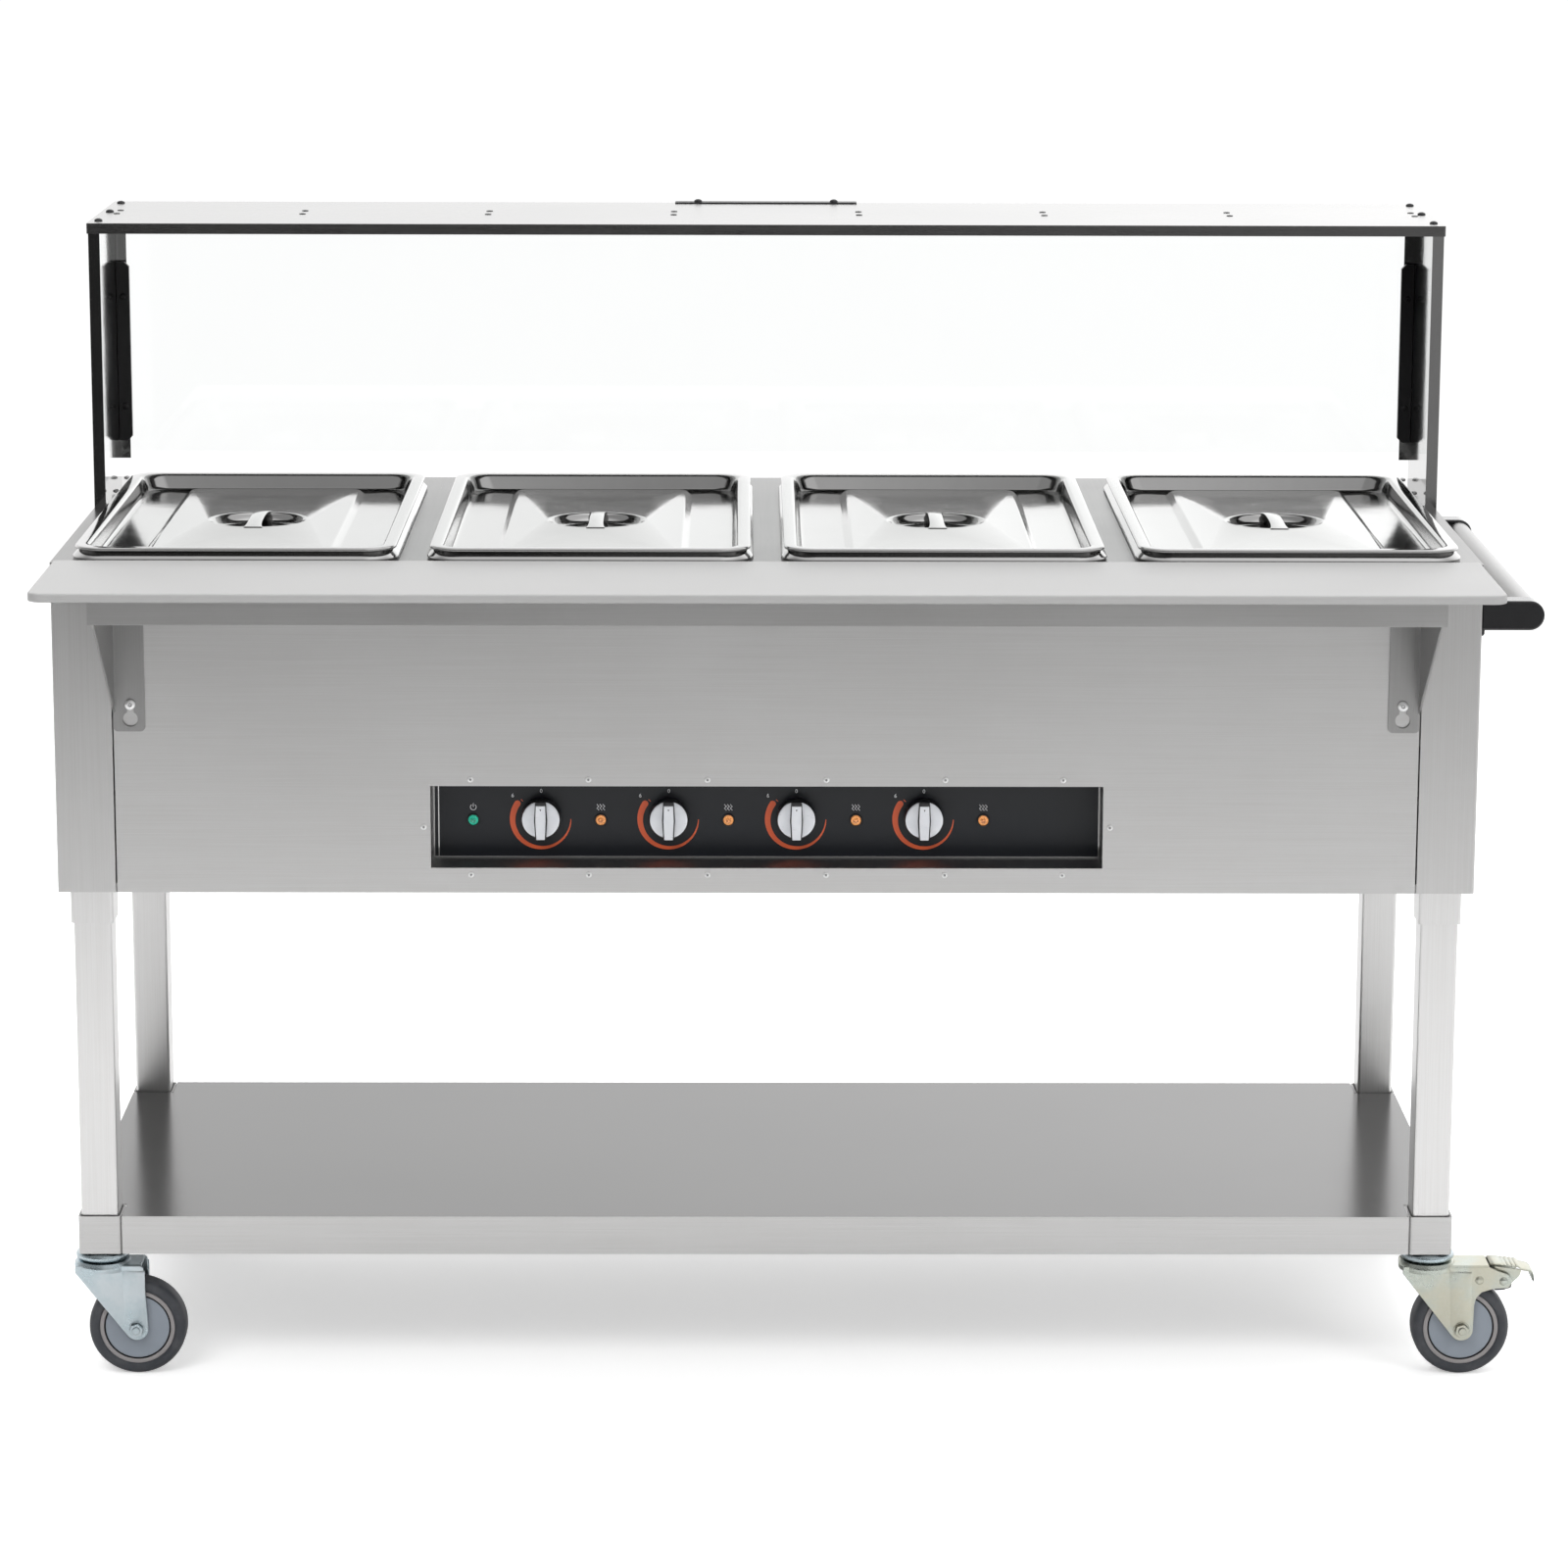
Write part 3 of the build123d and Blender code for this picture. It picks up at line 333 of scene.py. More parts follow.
def control_film():
    """Blue-black printed film on the control panel, with a fine sand texture and dust."""
    paint = Paint("control_film")
    sand = paint.noise((1600, 1600, 1600), 2.0, 0.5)
    cloud = paint.noise((10, 10, 18), 4.0, 0.6)
    dust = paint.ramp(paint.noise((240, 240, 240), 2.0, 0.7, (7, 7, 7)), 0.70, 0.80)
    color = paint.mix(cloud, (0.002, 0.003, 0.006, 1.0), (0.005, 0.007, 0.011, 1.0))
    color = paint.mix(dust * 0.05, color, gray(0.20))
    return paint.finish(color, sand * 0.12 + cloud * 0.12 + 0.28, sand, 0.01 * mm)


def ink(name, color):
    """Screen-printed ink, slightly uneven at its edges."""
    paint = Paint(name)
    grain = paint.noise((1500, 1500, 1500), 2.0, 0.5)
    tone = paint.mix(grain, shade(color, 0.88), color)
    return paint.finish(tone, grain * 0.15 + 0.38, grain, 0.01 * mm)


def heated_tube():
    """Sheathed heating tube: straw and blue temper colours over dark nickel alloy."""
    paint = Paint("heated_tube")
    bands = paint.noise((10, 22, 10), 3.0, 0.6)
    scale = paint.noise((260, 260, 260), 3.0, 0.6)
    color = paint.mix(paint.ramp(bands, 0.35, 0.65), (0.30, 0.24, 0.17, 1.0), (0.20, 0.21, 0.26, 1.0))
    color = paint.mix(paint.ramp(scale, 0.55, 0.75) * 0.5, color, gray(0.55))
    return paint.finish(color, scale * 0.2 + 0.32, scale, 0.04 * mm, Metallic=0.9)


def tyre_rubber():
    """Grey rubber tread with mould texture and floor dust worked into it."""
    paint = Paint("tyre_rubber")
    texture = paint.noise((900, 900, 900), 3.0, 0.6)
    dust = paint.ramp(paint.noise((45, 45, 45), 4.0, 0.65), 0.40, 0.75)
    color = paint.mix(dust, (0.035, 0.038, 0.045, 1.0), (0.062, 0.064, 0.070, 1.0))
    return paint.finish(color, texture * 0.12 + dust * 0.12 + 0.42, texture, 0.05 * mm)


def screw_steel():
    """Bright screw steel, with painted shade in its socket and where it meets the sheet."""
    paint = Paint("screw_steel")
    grain = paint.noise((900, 900, 900), 2.0, 0.5)
    # Painted shade: the colour darkens to near black in the socket and round the head's edge.
    color = paint.mix(paint.ramp(paint.openness(1.4 * mm), 0.45, 0.95), gray(0.015), gray(0.80))
    return paint.finish(color, grain * 0.1 + 0.25, grain, 0.01 * mm, Metallic=0.5)


# Painted light and shade: each part's steel gets its own tone for the light it gets; the legs lightest, the
# top deck dark, the shelf top darkest, the roof fascia dark.
steel_front = brushed_steel("steel_brushed_across", "X", 0.58, 0.36, 0)
steel_roof = brushed_steel("steel_roof", "X", 0.54, 0.28, 0, 0.19)
steel_beam = brushed_steel("steel_beam", "X", 0.46, 0.34)
steel_bracket = brushed_steel("steel_bracket", "Z", 0.36, 0.30)
steel_upright = brushed_steel("steel_brushed_upright", "Z", 0.56, 0.32)
steel_leg = brushed_steel("steel_leg", "Z", 0.68, 0.30)
steel_depth = brushed_steel("steel_brushed_deep", "Y", 0.27, 0.30, 0)
steel_shelf = brushed_steel("steel_shelf", "X", 0.155, 0.20, 0, 0.49)
steel_guard = polished_steel("steel_guard", 0.44, 0.09)
steel_pressed = polished_steel("steel_polished", 0.52, 0.12)
steel_well = polished_steel("steel_well", 0.46, 0.30)
screw_bright = screw_steel()
board_white = board_plastic()
black_gloss = moulded_plastic("black_gloss", (0.006, 0.006, 0.007), 0.14, Coat_Weight=0.3)
black_satin = moulded_plastic("black_satin", (0.014, 0.014, 0.015), 0.36, grain=0.3 * mm)
knob_black = moulded_plastic("knob_black", (0.012, 0.012, 0.014), 0.30)
wheel_ring = moulded_plastic("wheel_ring", (0.27, 0.255, 0.255), 0.42)
wheel_disc = moulded_plastic("wheel_disc", (0.235, 0.265, 0.305), 0.36)
groove_black = moulded_plastic("groove_black", (0.008, 0.008, 0.009), 0.55)
cream_moulding = moulded_plastic("cream_moulding", (0.55, 0.50, 0.40), 0.45)
zinc_cool = zinc_plate("zinc_cool", (0.47, 0.56, 0.60, 1.0), (0.58, 0.64, 0.67, 1.0))
zinc_warm = zinc_plate("zinc_warm", (0.48, 0.52, 0.47, 1.0), (0.55, 0.54, 0.44, 1.0))
tube_satin = brushed_steel("tube_satin", "Y", 0.38, 0.30)
face_silver = knob_silver()
film_black = control_film()
ink_orange = ink("ink_orange", (0.78, 0.13, 0.045, 1.0))
ink_white = ink("ink_white", (0.75, 0.76, 0.78, 1.0))
lens_green = lamp_lens("lens_green", (0.0, 0.10, 0.06, 1.0), (0.02, 0.55, 0.36, 1.0))
lens_amber = lamp_lens("lens_amber", (0.45, 0.12, 0.02, 1.0), (0.95, 0.42, 0.14, 1.0))
rubber = tyre_rubber()
heater = heated_tube()
glass = tinted_glass()


def wear(material, *names):
    """A CAD node keeps its shape and takes this material in each of its slots."""
    for name in names:
        slots = nodes[name].data.materials
        slots.clear()
        slots.append(material)


wear(steel_front, "front_panel", "back_panel", "control_box")
wear(steel_roof, "guard_roof")
wear(steel_beam, "board_beam")
wear(steel_bracket, "board_brackets")
wear(steel_upright, "left_side_panel", "right_side_panel")
wear(steel_leg, "leg_sockets", "legs")
wear(steel_guard, "guard_sides")
wear(steel_depth, "top_deck", "bottom_cover")
wear(steel_shelf, "undershelf")
wear(steel_well, "water_wells")
wear(heater, "heating_elements")
wear(film_black, "control_panel")
wear(cream_moulding, "thermostats", "terminal_block")
wear(black_satin, "glass_clamps")
wear(glass, "glass_pane")


# ---------------------------------------------------------------- mesh tools
class Shape:
    """A mesh under construction, from rings of points joined by faces."""

    def __init__(self):
        self.mesh = bmesh.new()
        self.finish = 0

    def ring(self, points):
        return [self.mesh.verts.new(point) for point in points]

    def face(self, corners):
        face = self.mesh.faces.new(corners)
        face.material_index = self.finish
        face.smooth = True
        return face

    def skin(self, rings, around=True):
        """Quads between each ring and the next; rings are open strips when around is False."""
        for low, high in zip(rings, rings[1:]):
            count = len(low) if around else len(low) - 1
            for index in range(count):
                after = (index + 1) % len(low)
                self.face([low[index], low[after], high[after], high[index]])

    def cap(self, rings):
        """Flat faces on the first and last rings."""
        self.face(list(reversed(rings[0])))
        self.face(rings[-1])

    def fan(self, ring, point):
        """Closes a ring onto one point."""
        tip = self.mesh.verts.new(point)
        for index, vertex in enumerate(ring):
            self.face([vertex, ring[(index + 1) % len(ring)], tip])

    def fill_between(self, outer, inner):
        """Flat face with a hole, between two rings."""
        sides = [(ring[index - 1], ring[index]) for ring in (outer, inner) for index in range(len(ring))]
        edges = [self.mesh.edges.get(side) for side in sides]
        filled = bmesh.ops.triangle_fill(self.mesh, edges=edges, use_beauty=True, normal=(0, 0, 1))
        for item in filled["geom"]:
            if isinstance(item, bmesh.types.BMFace):
                item.material_index = self.finish
                item.smooth = True

    def lathe(self, profile, centre, axis, steps=48):
        """Turns (radius, height) points in millimetres about an axis; radius 0 makes a pole."""
        to_axis = Vector(axis).to_track_quat("Z", "Y").to_matrix()
        rings = []
        for radius, height in profile:
            radius, height = radius * mm, height * mm
            count = steps if radius else 1
            angles = [2 * pi * step / count for step in range(count)]
            points = [Vector((radius * cos(a), radius * sin(a), height)) for a in angles]
            rings.append(self.ring([centre + to_axis @ point for point in points]))
        for low, high in zip(rings, rings[1:]):
            if len(low) == 1:
                for index in range(len(high)):
                    self.face([low[0], high[(index + 1) % len(high)], high[index]])
            elif len(high) == 1:
                for index in range(len(low)):
                    self.face([low[index], low[(index + 1) % len(low)], high[0]])
            else:
                self.skin([low, high])

    def prism(self, outline, depth):
        """Solid between a closed outline and the same outline moved by depth."""
        near = self.ring(outline)
        far = self.ring([Vector(point) + Vector(depth) for point in outline])
        self.skin([near, far])
        self.cap([near, far])

    def box(self, low, high):
        foot = [(low[0], low[1]), (high[0], low[1]), (high[0], high[1]), (low[0], high[1])]
        self.prism([(x, y, low[2]) for x, y in foot], (0, 0, high[2] - low[2]))


def upright(degrees):
    """Direction at an angle from +X, in a plane that faces the front."""
    return Vector((cos(radians(degrees)), 0, sin(radians(degrees))))


def across(direction):
    """The direction a quarter turn further on in that plane."""
    return Vector((-direction.z, 0, direction.x))


def circle(centre, radius, height=0.0, steps=64):
    angles = [2 * pi * step / steps for step in range(steps)]
    return [centre + offset(radius * cos(a), radius * sin(a), height) for a in angles]


def rounded(centre, width, length, radii, height=0.0, steps=8):
    """Anticlockwise points of a rounded rectangle; radii is one value or back and front ones."""
    back, front_radius = radii if isinstance(radii, tuple) else (radii, radii)
    points = []
    signs = ((1, 1, back), (-1, 1, back), (-1, -1, front_radius), (1, -1, front_radius))
    for quarter, (side, end, radius) in enumerate(signs):
        for step in range(steps + 1):
            angle = (quarter + step / steps) * pi / 2
            x = side * (width / 2 - radius) + radius * cos(angle)
            y = end * (length / 2 - radius) + radius * sin(angle)
            points.append(Vector((centre.x + x * mm, centre.y + y * mm, centre.z + height * mm)))
    return points


def nested(shape, centre, width, length, section, top, steps=8):
    """Rounded rings inside one another, each an (inset, drop below the top, corner radius)."""
    return [
        shape.ring(rounded(centre, width - 2 * inset, length - 2 * inset, radius, top - drop, steps))
        for inset, drop, radius in section
    ]


def piece(name, body, shape, paints, stands_for=(), wall=0.0, bevel=0.0, steps=2, sharp=38):
    """Makes a shape into an object that rides on a body and stands for CAD nodes."""
    if not wall:
        bmesh.ops.recalc_face_normals(shape.mesh, faces=shape.mesh.faces)
    mesh = bpy.data.meshes.new(name)
    shape.mesh.to_mesh(mesh)
    shape.mesh.free()
    mesh.set_sharp_from_angle(angle=radians(sharp))
    for material in paints:
        mesh.materials.append(material)
    made = stand(name, mesh)
    if wall:
        solid = made.modifiers.new("wall", "SOLIDIFY")
        solid.thickness = wall
        solid.offset = -1
    if bevel:
        rounding = made.modifiers.new("rounding", "BEVEL")
        rounding.width = bevel
        rounding.segments = steps
        rounding.limit_method = "ANGLE"
        rounding.angle_limit = radians(sharp)
        rounding.harden_normals = True
    settle(made, body, stands_for)


def settle(made, body, stands_for=()):
    name = made.name
    if made.modifiers:
        graph = bpy.context.evaluated_depsgraph_get()
        plain = bpy.data.meshes.new_from_object(made.evaluated_get(graph))
        made.modifiers.clear()
        old = made.data
        made.data = plain
        bpy.data.meshes.remove(old)
    made.data.name = name
    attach(made, body)
    if stands_for:
        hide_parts(*stands_for)


# ---------------------------------------------------------------- screw heads by Geometry Nodes
class Recipe(NodeTree):
    """A Geometry Nodes tree with named inputs."""

    def __init__(self, name, inputs):
        super().__init__(bpy.data.node_groups.new(name, "GeometryNodeTree"))
        sockets = self.tree.interface
        sockets.new_socket("Geometry", in_out="INPUT", socket_type="NodeSocketGeometry")
        sockets.new_socket("Geometry", in_out="OUTPUT", socket_type="NodeSocketGeometry")
        for label, kind in inputs.items():
            sockets.new_socket(label, in_out="INPUT", socket_type=kind)
        self.inputs = self.tree.nodes.new("NodeGroupInput")

    def given(self, label):
        return Signal(self, self.inputs.outputs[label])


def screw_recipe():
    """A domed screw head with a round socket on every point that the tree is given."""
    kinds = dict.fromkeys(["Head radius", "Head height", "Socket radius"], "NodeSocketFloat")
    recipe = Recipe("screw_heads", dict(kinds, Turn="NodeSocketRotation", Material="NodeSocketMaterial"))
    radius = recipe.given("Head radius")
    sizes = {"Vertices": 24, "Side Segments": 1, "Fill Segments": 7, "Radius": 1.0, "Depth": 1.0}
    disc = recipe.add("GeometryNodeMeshCylinder", values=sizes)
    x, y, z = recipe.axes(recipe.add("GeometryNodeInputPosition"))
    distance = (x ** 2.0 + y ** 2.0).root()
    roundness, socket_depth = 0.85, 0.62
    dome = (1.0 - distance ** 2.0 * roundness).root()
    inside = distance < recipe.given("Socket radius") / radius
    upper = (z > 0.0) * (dome - inside * socket_depth)
    shaped = {"X": x * radius, "Y": y * radius, "Z": upper * recipe.given("Head height")}
    target = recipe.add("ShaderNodeCombineXYZ", values=shaped)
    head = recipe.add("GeometryNodeSetPosition", values={"Geometry": disc, "Position": target})
    copies = {"Points": recipe.given("Geometry"), "Instance": head, "Rotation": recipe.given("Turn")}
    heads = recipe.add("GeometryNodeInstanceOnPoints", values=copies)
    real = recipe.add("GeometryNodeRealizeInstances", values={"Geometry": heads})
    painted = {"Geometry": real, "Material": recipe.given("Material")}
    recipe.add("NodeGroupOutput", values={0: recipe.add("GeometryNodeSetMaterial", values=painted)})
    return recipe.tree


screw_heads = screw_recipe()


def screws(name, places, size, turn, material, stands_for=()):
    """Screw heads on the frame; size is head radius, head height and socket radius in millimetres."""
    mesh = bpy.data.meshes.new(name)
    mesh.from_pydata([tuple(point) for point in places], [], [])
    made = stand(name, mesh)
    modifier = made.modifiers.new("repeat", "NODES")
    modifier.node_group = screw_heads
    head_radius, head_height, socket_radius = [value * mm for value in size]
    settings = {"Head radius": head_radius, "Head height": head_height, "Socket radius": socket_radius}
    settings.update({"Turn": turn, "Material": material})
    for item in screw_heads.interface.items_tree:
        if item.in_out == "INPUT" and item.name in settings:
            modifier[item.identifier] = settings[item.name]
    settle(made, "frame", stands_for)
    made.data.shade_smooth()
    made.data.set_sharp_from_angle(angle=radians(50))


# ---------------------------------------------------------------- pans and lids
def make_pan(index):
    """Pressed pan: rolled rim, sloping shoulder, tapered walls and a dished floor."""
    node = f"food_pan_{index}"
    centre, width, length, bottom, top = footprint(node)
    # Each step is (inset from the rim's edge, drop below the rim's top, corner radius).
    section = [
        (1.2, 11.5, 33), (0.2, 11.2, 34), (0.0, 10.4, 34), (0.3, 9.6, 34), (1.4, 8.6, 33), (4.0, 6.0, 31),
        (8.0, 2.2, 28), (9.6, 0.9, 27), (11.4, 0.15, 26), (12.6, 0.0, 26), (13.6, 0.3, 25), (14.4, 1.2, 25),
        (14.9, 2.8, 25), (15.2, 6.0, 25), (15.8, 20, 25), (16.6, 21.5, 25), (17.4, 23, 25), (18.0, 26, 25),
    ]
    depth = top - bottom
    section += [(20.5, depth - 22, 27)]
    turn_radius, turn_steps, floor_lift = 17.0, 7, 1.0
    for step in range(1, turn_steps + 1):
        angle = step / turn_steps * pi / 2
        drop = depth - turn_radius + turn_radius * sin(angle) - floor_lift
        section.append((21 + turn_radius * (1 - cos(angle)), drop, 27 + step * 0.5))
    shape = Shape()
    rings = nested(shape, centre, width, length, section, top, 10)
    shape.skin(rings)
    shape.fan(rings[-1], centre + offset(0, 0, top - depth + floor_lift))
    paints = [steel_pressed]
    piece(f"steam_pan_{index}", f"pan_{index}", shape, paints, [node], wall=0.9 * mm)


def make_lid(index):
    """Sunk lid: rolled edge, deep recess, raised platform, finger dish and lifting strap."""
    node = f"food_lid_{index}"
    centre, width, length = footprint(node)[:3]
    pan_top = footprint(f"food_pan_{index}")[4]
    rim = pan_top + 1.0
    # Each step is (inset from the edge, drop below the rim's top, corner radius).
    section = [
        (1.5, 3.0, 28), (0.4, 3.1, 29.5), (0.0, 2.5, 30), (0.0, 1.6, 30), (0.4, 0.7, 29.6), (1.2, 0.2, 29),
        (2.2, 0.0, 28.5), (10.0, 0.0, 24), (11.8, 0.3, 23.5), (13.2, 1.2, 23), (14.2, 2.8, 23),
        (15.0, 5.0, 23), (17.0, 13.0, 24), (17.7, 15.2, 24.5), (18.9, 16.5, 25), (20.8, 17.1, 25),
        (23.0, 17.2, 25),
    ]
    platform_width, platform_length, platform_drop = 192, 452, 12.0
    platform = [(-2.5, 17.2, 15), (-0.8, 16.9, 14), (4.2, 12.7, 10), (5.4, 12.1, 9), (7.0, platform_drop, 8)]
    # The dish is (radius, drop), from its raised edge ring down to its floor.
    dish = [
        (55, platform_drop), (53.4, 11.5), (52.0, 11.3), (50.6, 11.6), (49.4, 12.6), (48.2, 15.0),
        (46.4, 18.2), (43.5, 20.6), (39, 21.8), (30, 22.1),
    ]
    shape = Shape()
    rings = nested(shape, centre, width, length, section, rim)
    rings += nested(shape, centre, platform_width, platform_length, platform, rim)
    shape.skin(rings)
    dish_rings = [shape.ring(circle(centre, radius, rim - drop)) for radius, drop in dish]
    shape.skin(dish_rings)
    shape.fan(dish_rings[-1], centre + offset(0, 0, rim - 22.2))
    shape.fill_between(rings[-1], dish_rings[0])
    paints = [steel_pressed]
    piece(f"steam_lid_{index}", f"lid_{index}", shape, paints, [node], wall=0.8 * mm)
    make_strap(index, centre, rim - platform_drop)


def make_strap(index, centre, level):
    """Lifting strap across the dish from front to back, bowed up in the middle."""
    shape = Shape()
    half_width, thick, reach, bow, sink = 7.5, 1.5, 54.0, 3.2, 0.3
    outline = [(-1, 0), (-0.86, 1), (0.86, 1), (1, 0), (0.86, -1), (-0.86, -1)]
    rings = []
    stations = 24
    for step in range(stations + 1):
        along = -1 + 2 * step / stations
        middle_z = level + bow * (1 - along ** 2) ** 0.8 - sink + thick / 2
        wide = half_width * (1.0 + 0.35 * along ** 6)
        points = [centre + offset(x * wide, along * reach, middle_z + z * thick / 2) for x, z in outline]
        rings.append(shape.ring(points))
    shape.skin(rings)
    shape.cap(rings)
    paints = [steel_pressed]
    piece(f"lid_strap_{index}", f"lid_{index}", shape, paints, bevel=0.3 * mm)


for number in range(1, 5):
    make_pan(number)
    make_lid(number)


# ---------------------------------------------------------------- work board
def make_board():
    """Board with softened edges; its front corners are rounder than its back ones."""
    centre, width, length, bottom, top = footprint("cutting_board")
    back_radius, front_radius = 4, 14
    # Each step is (inset, height).
    section = [(1.2, bottom), (0.35, bottom + 0.35), (0, bottom + 1.2)]
    section += [(0, top - 2.0), (0.25, top - 1.1), (0.9, top - 0.35), (1.9, top)]
    shape = Shape()
    rings = []
    for inset, height in section:
        radii = (back_radius - inset, front_radius - inset)
        rings.append(shape.ring(rounded(centre, width - 2 * inset, length - 2 * inset, radii, height)))
    shape.skin(rings)
    shape.cap(rings)
    piece("work_board", "work_shelf", shape, [board_white], ["cutting_board"], sharp=60)


make_board()

# ---------------------------------------------------------------- knobs and lamps
film_y = place(0, 50, 0).y
knob_xs = [middle(f"control_knob_{index}").x for index in range(1, 5)]
lamp_low, lamp_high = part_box("heating_lamps")
collar_radius = 6.5
lamp_gap = (lamp_high.x - lamp_low.x - 2 * collar_radius * mm) / 3
lamp_xs = [lamp_low.x + collar_radius * mm + index * lamp_gap for index in range(4)]
lamp_z = middle("power_lamp").z
power_x = middle("power_lamp").x


def make_knob(index):
    """Round skirt with a silver face, black rim and a full-height grip bar."""
    node = f"control_knob_{index}"
    body = f"knob_{index}"
    back_y, face_y = 48.6, 34.8
    centre = middle(node)
    centre.y = place(0, face_y, 0).y
    back = face_y - back_y
    skirt = [(0, back), (19.0, back), (20.0, back + 1), (20.0, -1.6), (19.6, -0.6), (19.0, -0.1)]
    face = [(19.0, -0.1), (18.4, 0.15), (17.5, 0.2), (10, 0.1), (0, 0.1)]
    paints = [face_silver, knob_black]
    silver, black = 0, 1
    shape = Shape()
    shape.finish = black
    shape.lathe(skirt, centre, front, 72)
    shape.finish = silver
    shape.lathe(face, centre, front, 72)
    bmesh.ops.remove_doubles(shape.mesh, verts=shape.mesh.verts, dist=0.01 * mm)
    piece(f"{body}_skirt", body, shape, paints, [node], sharp=50)
    grip = Shape()
    bars = ((6.6, -19.4, 19.4, 5.2, black), (5.3, -19.2, 16.0, 8.8, silver))
    for half, low_z, high_z, depth, finish in bars:
        grip.finish = finish
        outline = []
        for x, z in ((-half, low_z), (half, low_z), (half, high_z), (-half, high_z)):
            pinch = 0.82 if abs(z) > 17 else 0.9
            outline.append(centre + offset(x * pinch, 0, z))
        outline.insert(2, centre + offset(half, 0, 0))
        outline.append(centre + offset(-half, 0, 0))
        grip.prism(outline, offset(0, -depth, 0))
    grip.finish = black
    nose = ((-4.2, 13), (4.2, 13), (4.8, 19.6), (-4.8, 19.6))
    grip.prism([centre + offset(x, 0, z) for x, z in nose], offset(0, -7.6, 0))
    piece(f"{body}_grip", body, grip, paints, bevel=0.6 * mm, steps=3)
    mark = Shape()
    tip = centre + offset(0, -8.8, 11.5)
    arrow = ((-0.9, 1.1), (0, -0.9), (0.9, 1.1))
    mark.prism([tip + offset(x, 0, z) for x, z in arrow], offset(0, -0.12, 0))
    piece(f"{body}_mark", body, mark, [knob_black])


def make_lamp(x, collars):
    """Domed lens; its dark collar joins the others."""
    centre = Vector((x, film_y, lamp_z))
    lens_radius, lens_height, crown_height = 5.2, 2.0, 1.5
    section = [(0, 0.2), (lens_radius, 0.2), (lens_radius, lens_height)]
    for angle in (radians(degrees) for degrees in (20, 40, 60, 75)):
        section.append((lens_radius * cos(angle), lens_height + crown_height * sin(angle)))
    section.append((0, lens_height + crown_height))
    dome = Shape()
    dome.lathe(section, centre, front, 36)
    collar = [(lens_radius, 0.0), (collar_radius, 0.0), (collar_radius, 1.6), (6.1, 2.2)]
    collar += [(5.6, 2.2), (lens_radius, 1.4), (lens_radius, 0.0)]
    collars.lathe(collar, centre, front, 36)
    return dome


collars = Shape()
piece("power_lens", "frame", make_lamp(power_x, collars), [lens_green], ["power_lamp"])
for number, x in enumerate(lamp_xs, start=1):
    stands_for = ["heating_lamps"] if number == 1 else ()
    lens = make_lamp(x, collars)
    piece(f"heating_lens_{number}", "frame", lens, [lens_amber], stands_for)
piece("lamp_collars", "frame", collars, [black_satin])
for number in range(1, 5):
    make_knob(number)

# ---------------------------------------------------------------- printed marks
dial_z = middle("control_knob_1").z - 2.5 * mm
sign_z = lamp_z + 13 * mm
print_depth = 0.12 * mm


def dial_marks():
    """Printed heat scale round each knob: an arc that swells from thin to thick, and a tick."""
    arc_start, arc_sweep, arc_radius, steps = 146, 214, 30.2 * mm, 72
    tick = ((26.2, -0.4), (29.2, -0.4), (29.2, 0.4), (26.2, 0.4))
    shape = Shape()
    for x in knob_xs:
        centre = Vector((x, film_y, dial_z))
        inner, outer = [], []
        for step in range(steps + 1):
            along = step / steps
            half = (2.9 * (1 - along) ** 0.85 + 0.35) * mm
            radius = arc_radius - half * 0.35
            direction = upright(arc_start + along * arc_sweep)
            inner.append(centre + direction * (radius - half))
            outer.append(centre + direction * (radius + half))
        start = upright(arc_start)
        side = -across(start)
        cap_centre = (inner[0] + outer[0]) / 2
        cap_radius = (outer[0] - inner[0]).length / 2
        round_end = [
            cap_centre - start * cap_radius * cos(a) + side * cap_radius * sin(a)
            for a in (radians(22.5 * step) for step in range(1, 8))
        ]
        outline = outer + inner[::-1] + round_end
        front_ring = shape.ring([point + Vector((0, -print_depth, 0)) for point in outline])
        back_ring = shape.ring(outline)
        shape.skin([back_ring, front_ring])
        # The flat front is a strip of quads, so that it has no long slivers.
        last = 2 * steps + 1
        for step in range(steps):
            strip = (step, step + 1, last - 1 - step, last - step)
            shape.face([front_ring[index] for index in strip])
        shape.face([front_ring[last], front_ring[0]] + list(reversed(front_ring[last + 1:])))
        direction = upright(135)
        outline = [centre + (direction * out + across(direction) * side) * mm for out, side in tick]
        shape.prism(outline, (0, -print_depth, 0))
    piece("dial_scales", "frame", shape, [ink_orange], sharp=60)


def digit(shape, text, x, z, size=5.5):
    """A digit as thin solid print on the control panel."""
    curve = bpy.data.curves.new("digit", "FONT")
    curve.body = text
    curve.size = size * mm
    curve.extrude = print_depth / 2
    curve.align_x = "CENTER"
    curve.align_y = "CENTER"
    text_object = stand("digit", curve)
    graph = bpy.context.evaluated_depsgraph_get()
    mesh = bpy.data.meshes.new_from_object(text_object.evaluated_get(graph))
    where = Matrix.Translation((x, film_y - print_depth / 2, z))
    mesh.transform(where @ Matrix.Rotation(pi / 2, 4, "X"))
    shape.mesh.from_mesh(mesh)
    bpy.data.objects.remove(text_object)
    bpy.data.meshes.remove(mesh)
    bpy.data.curves.remove(curve)


def stroke(shape, left, right):
    """A printed band between two rows of points."""
    depth = Vector((0, -print_depth, 0))
    rows = [shape.ring([a, b, b + depth, a + depth]) for a, b in zip(left, right)]
    shape.skin(rows)
    shape.cap(rows)


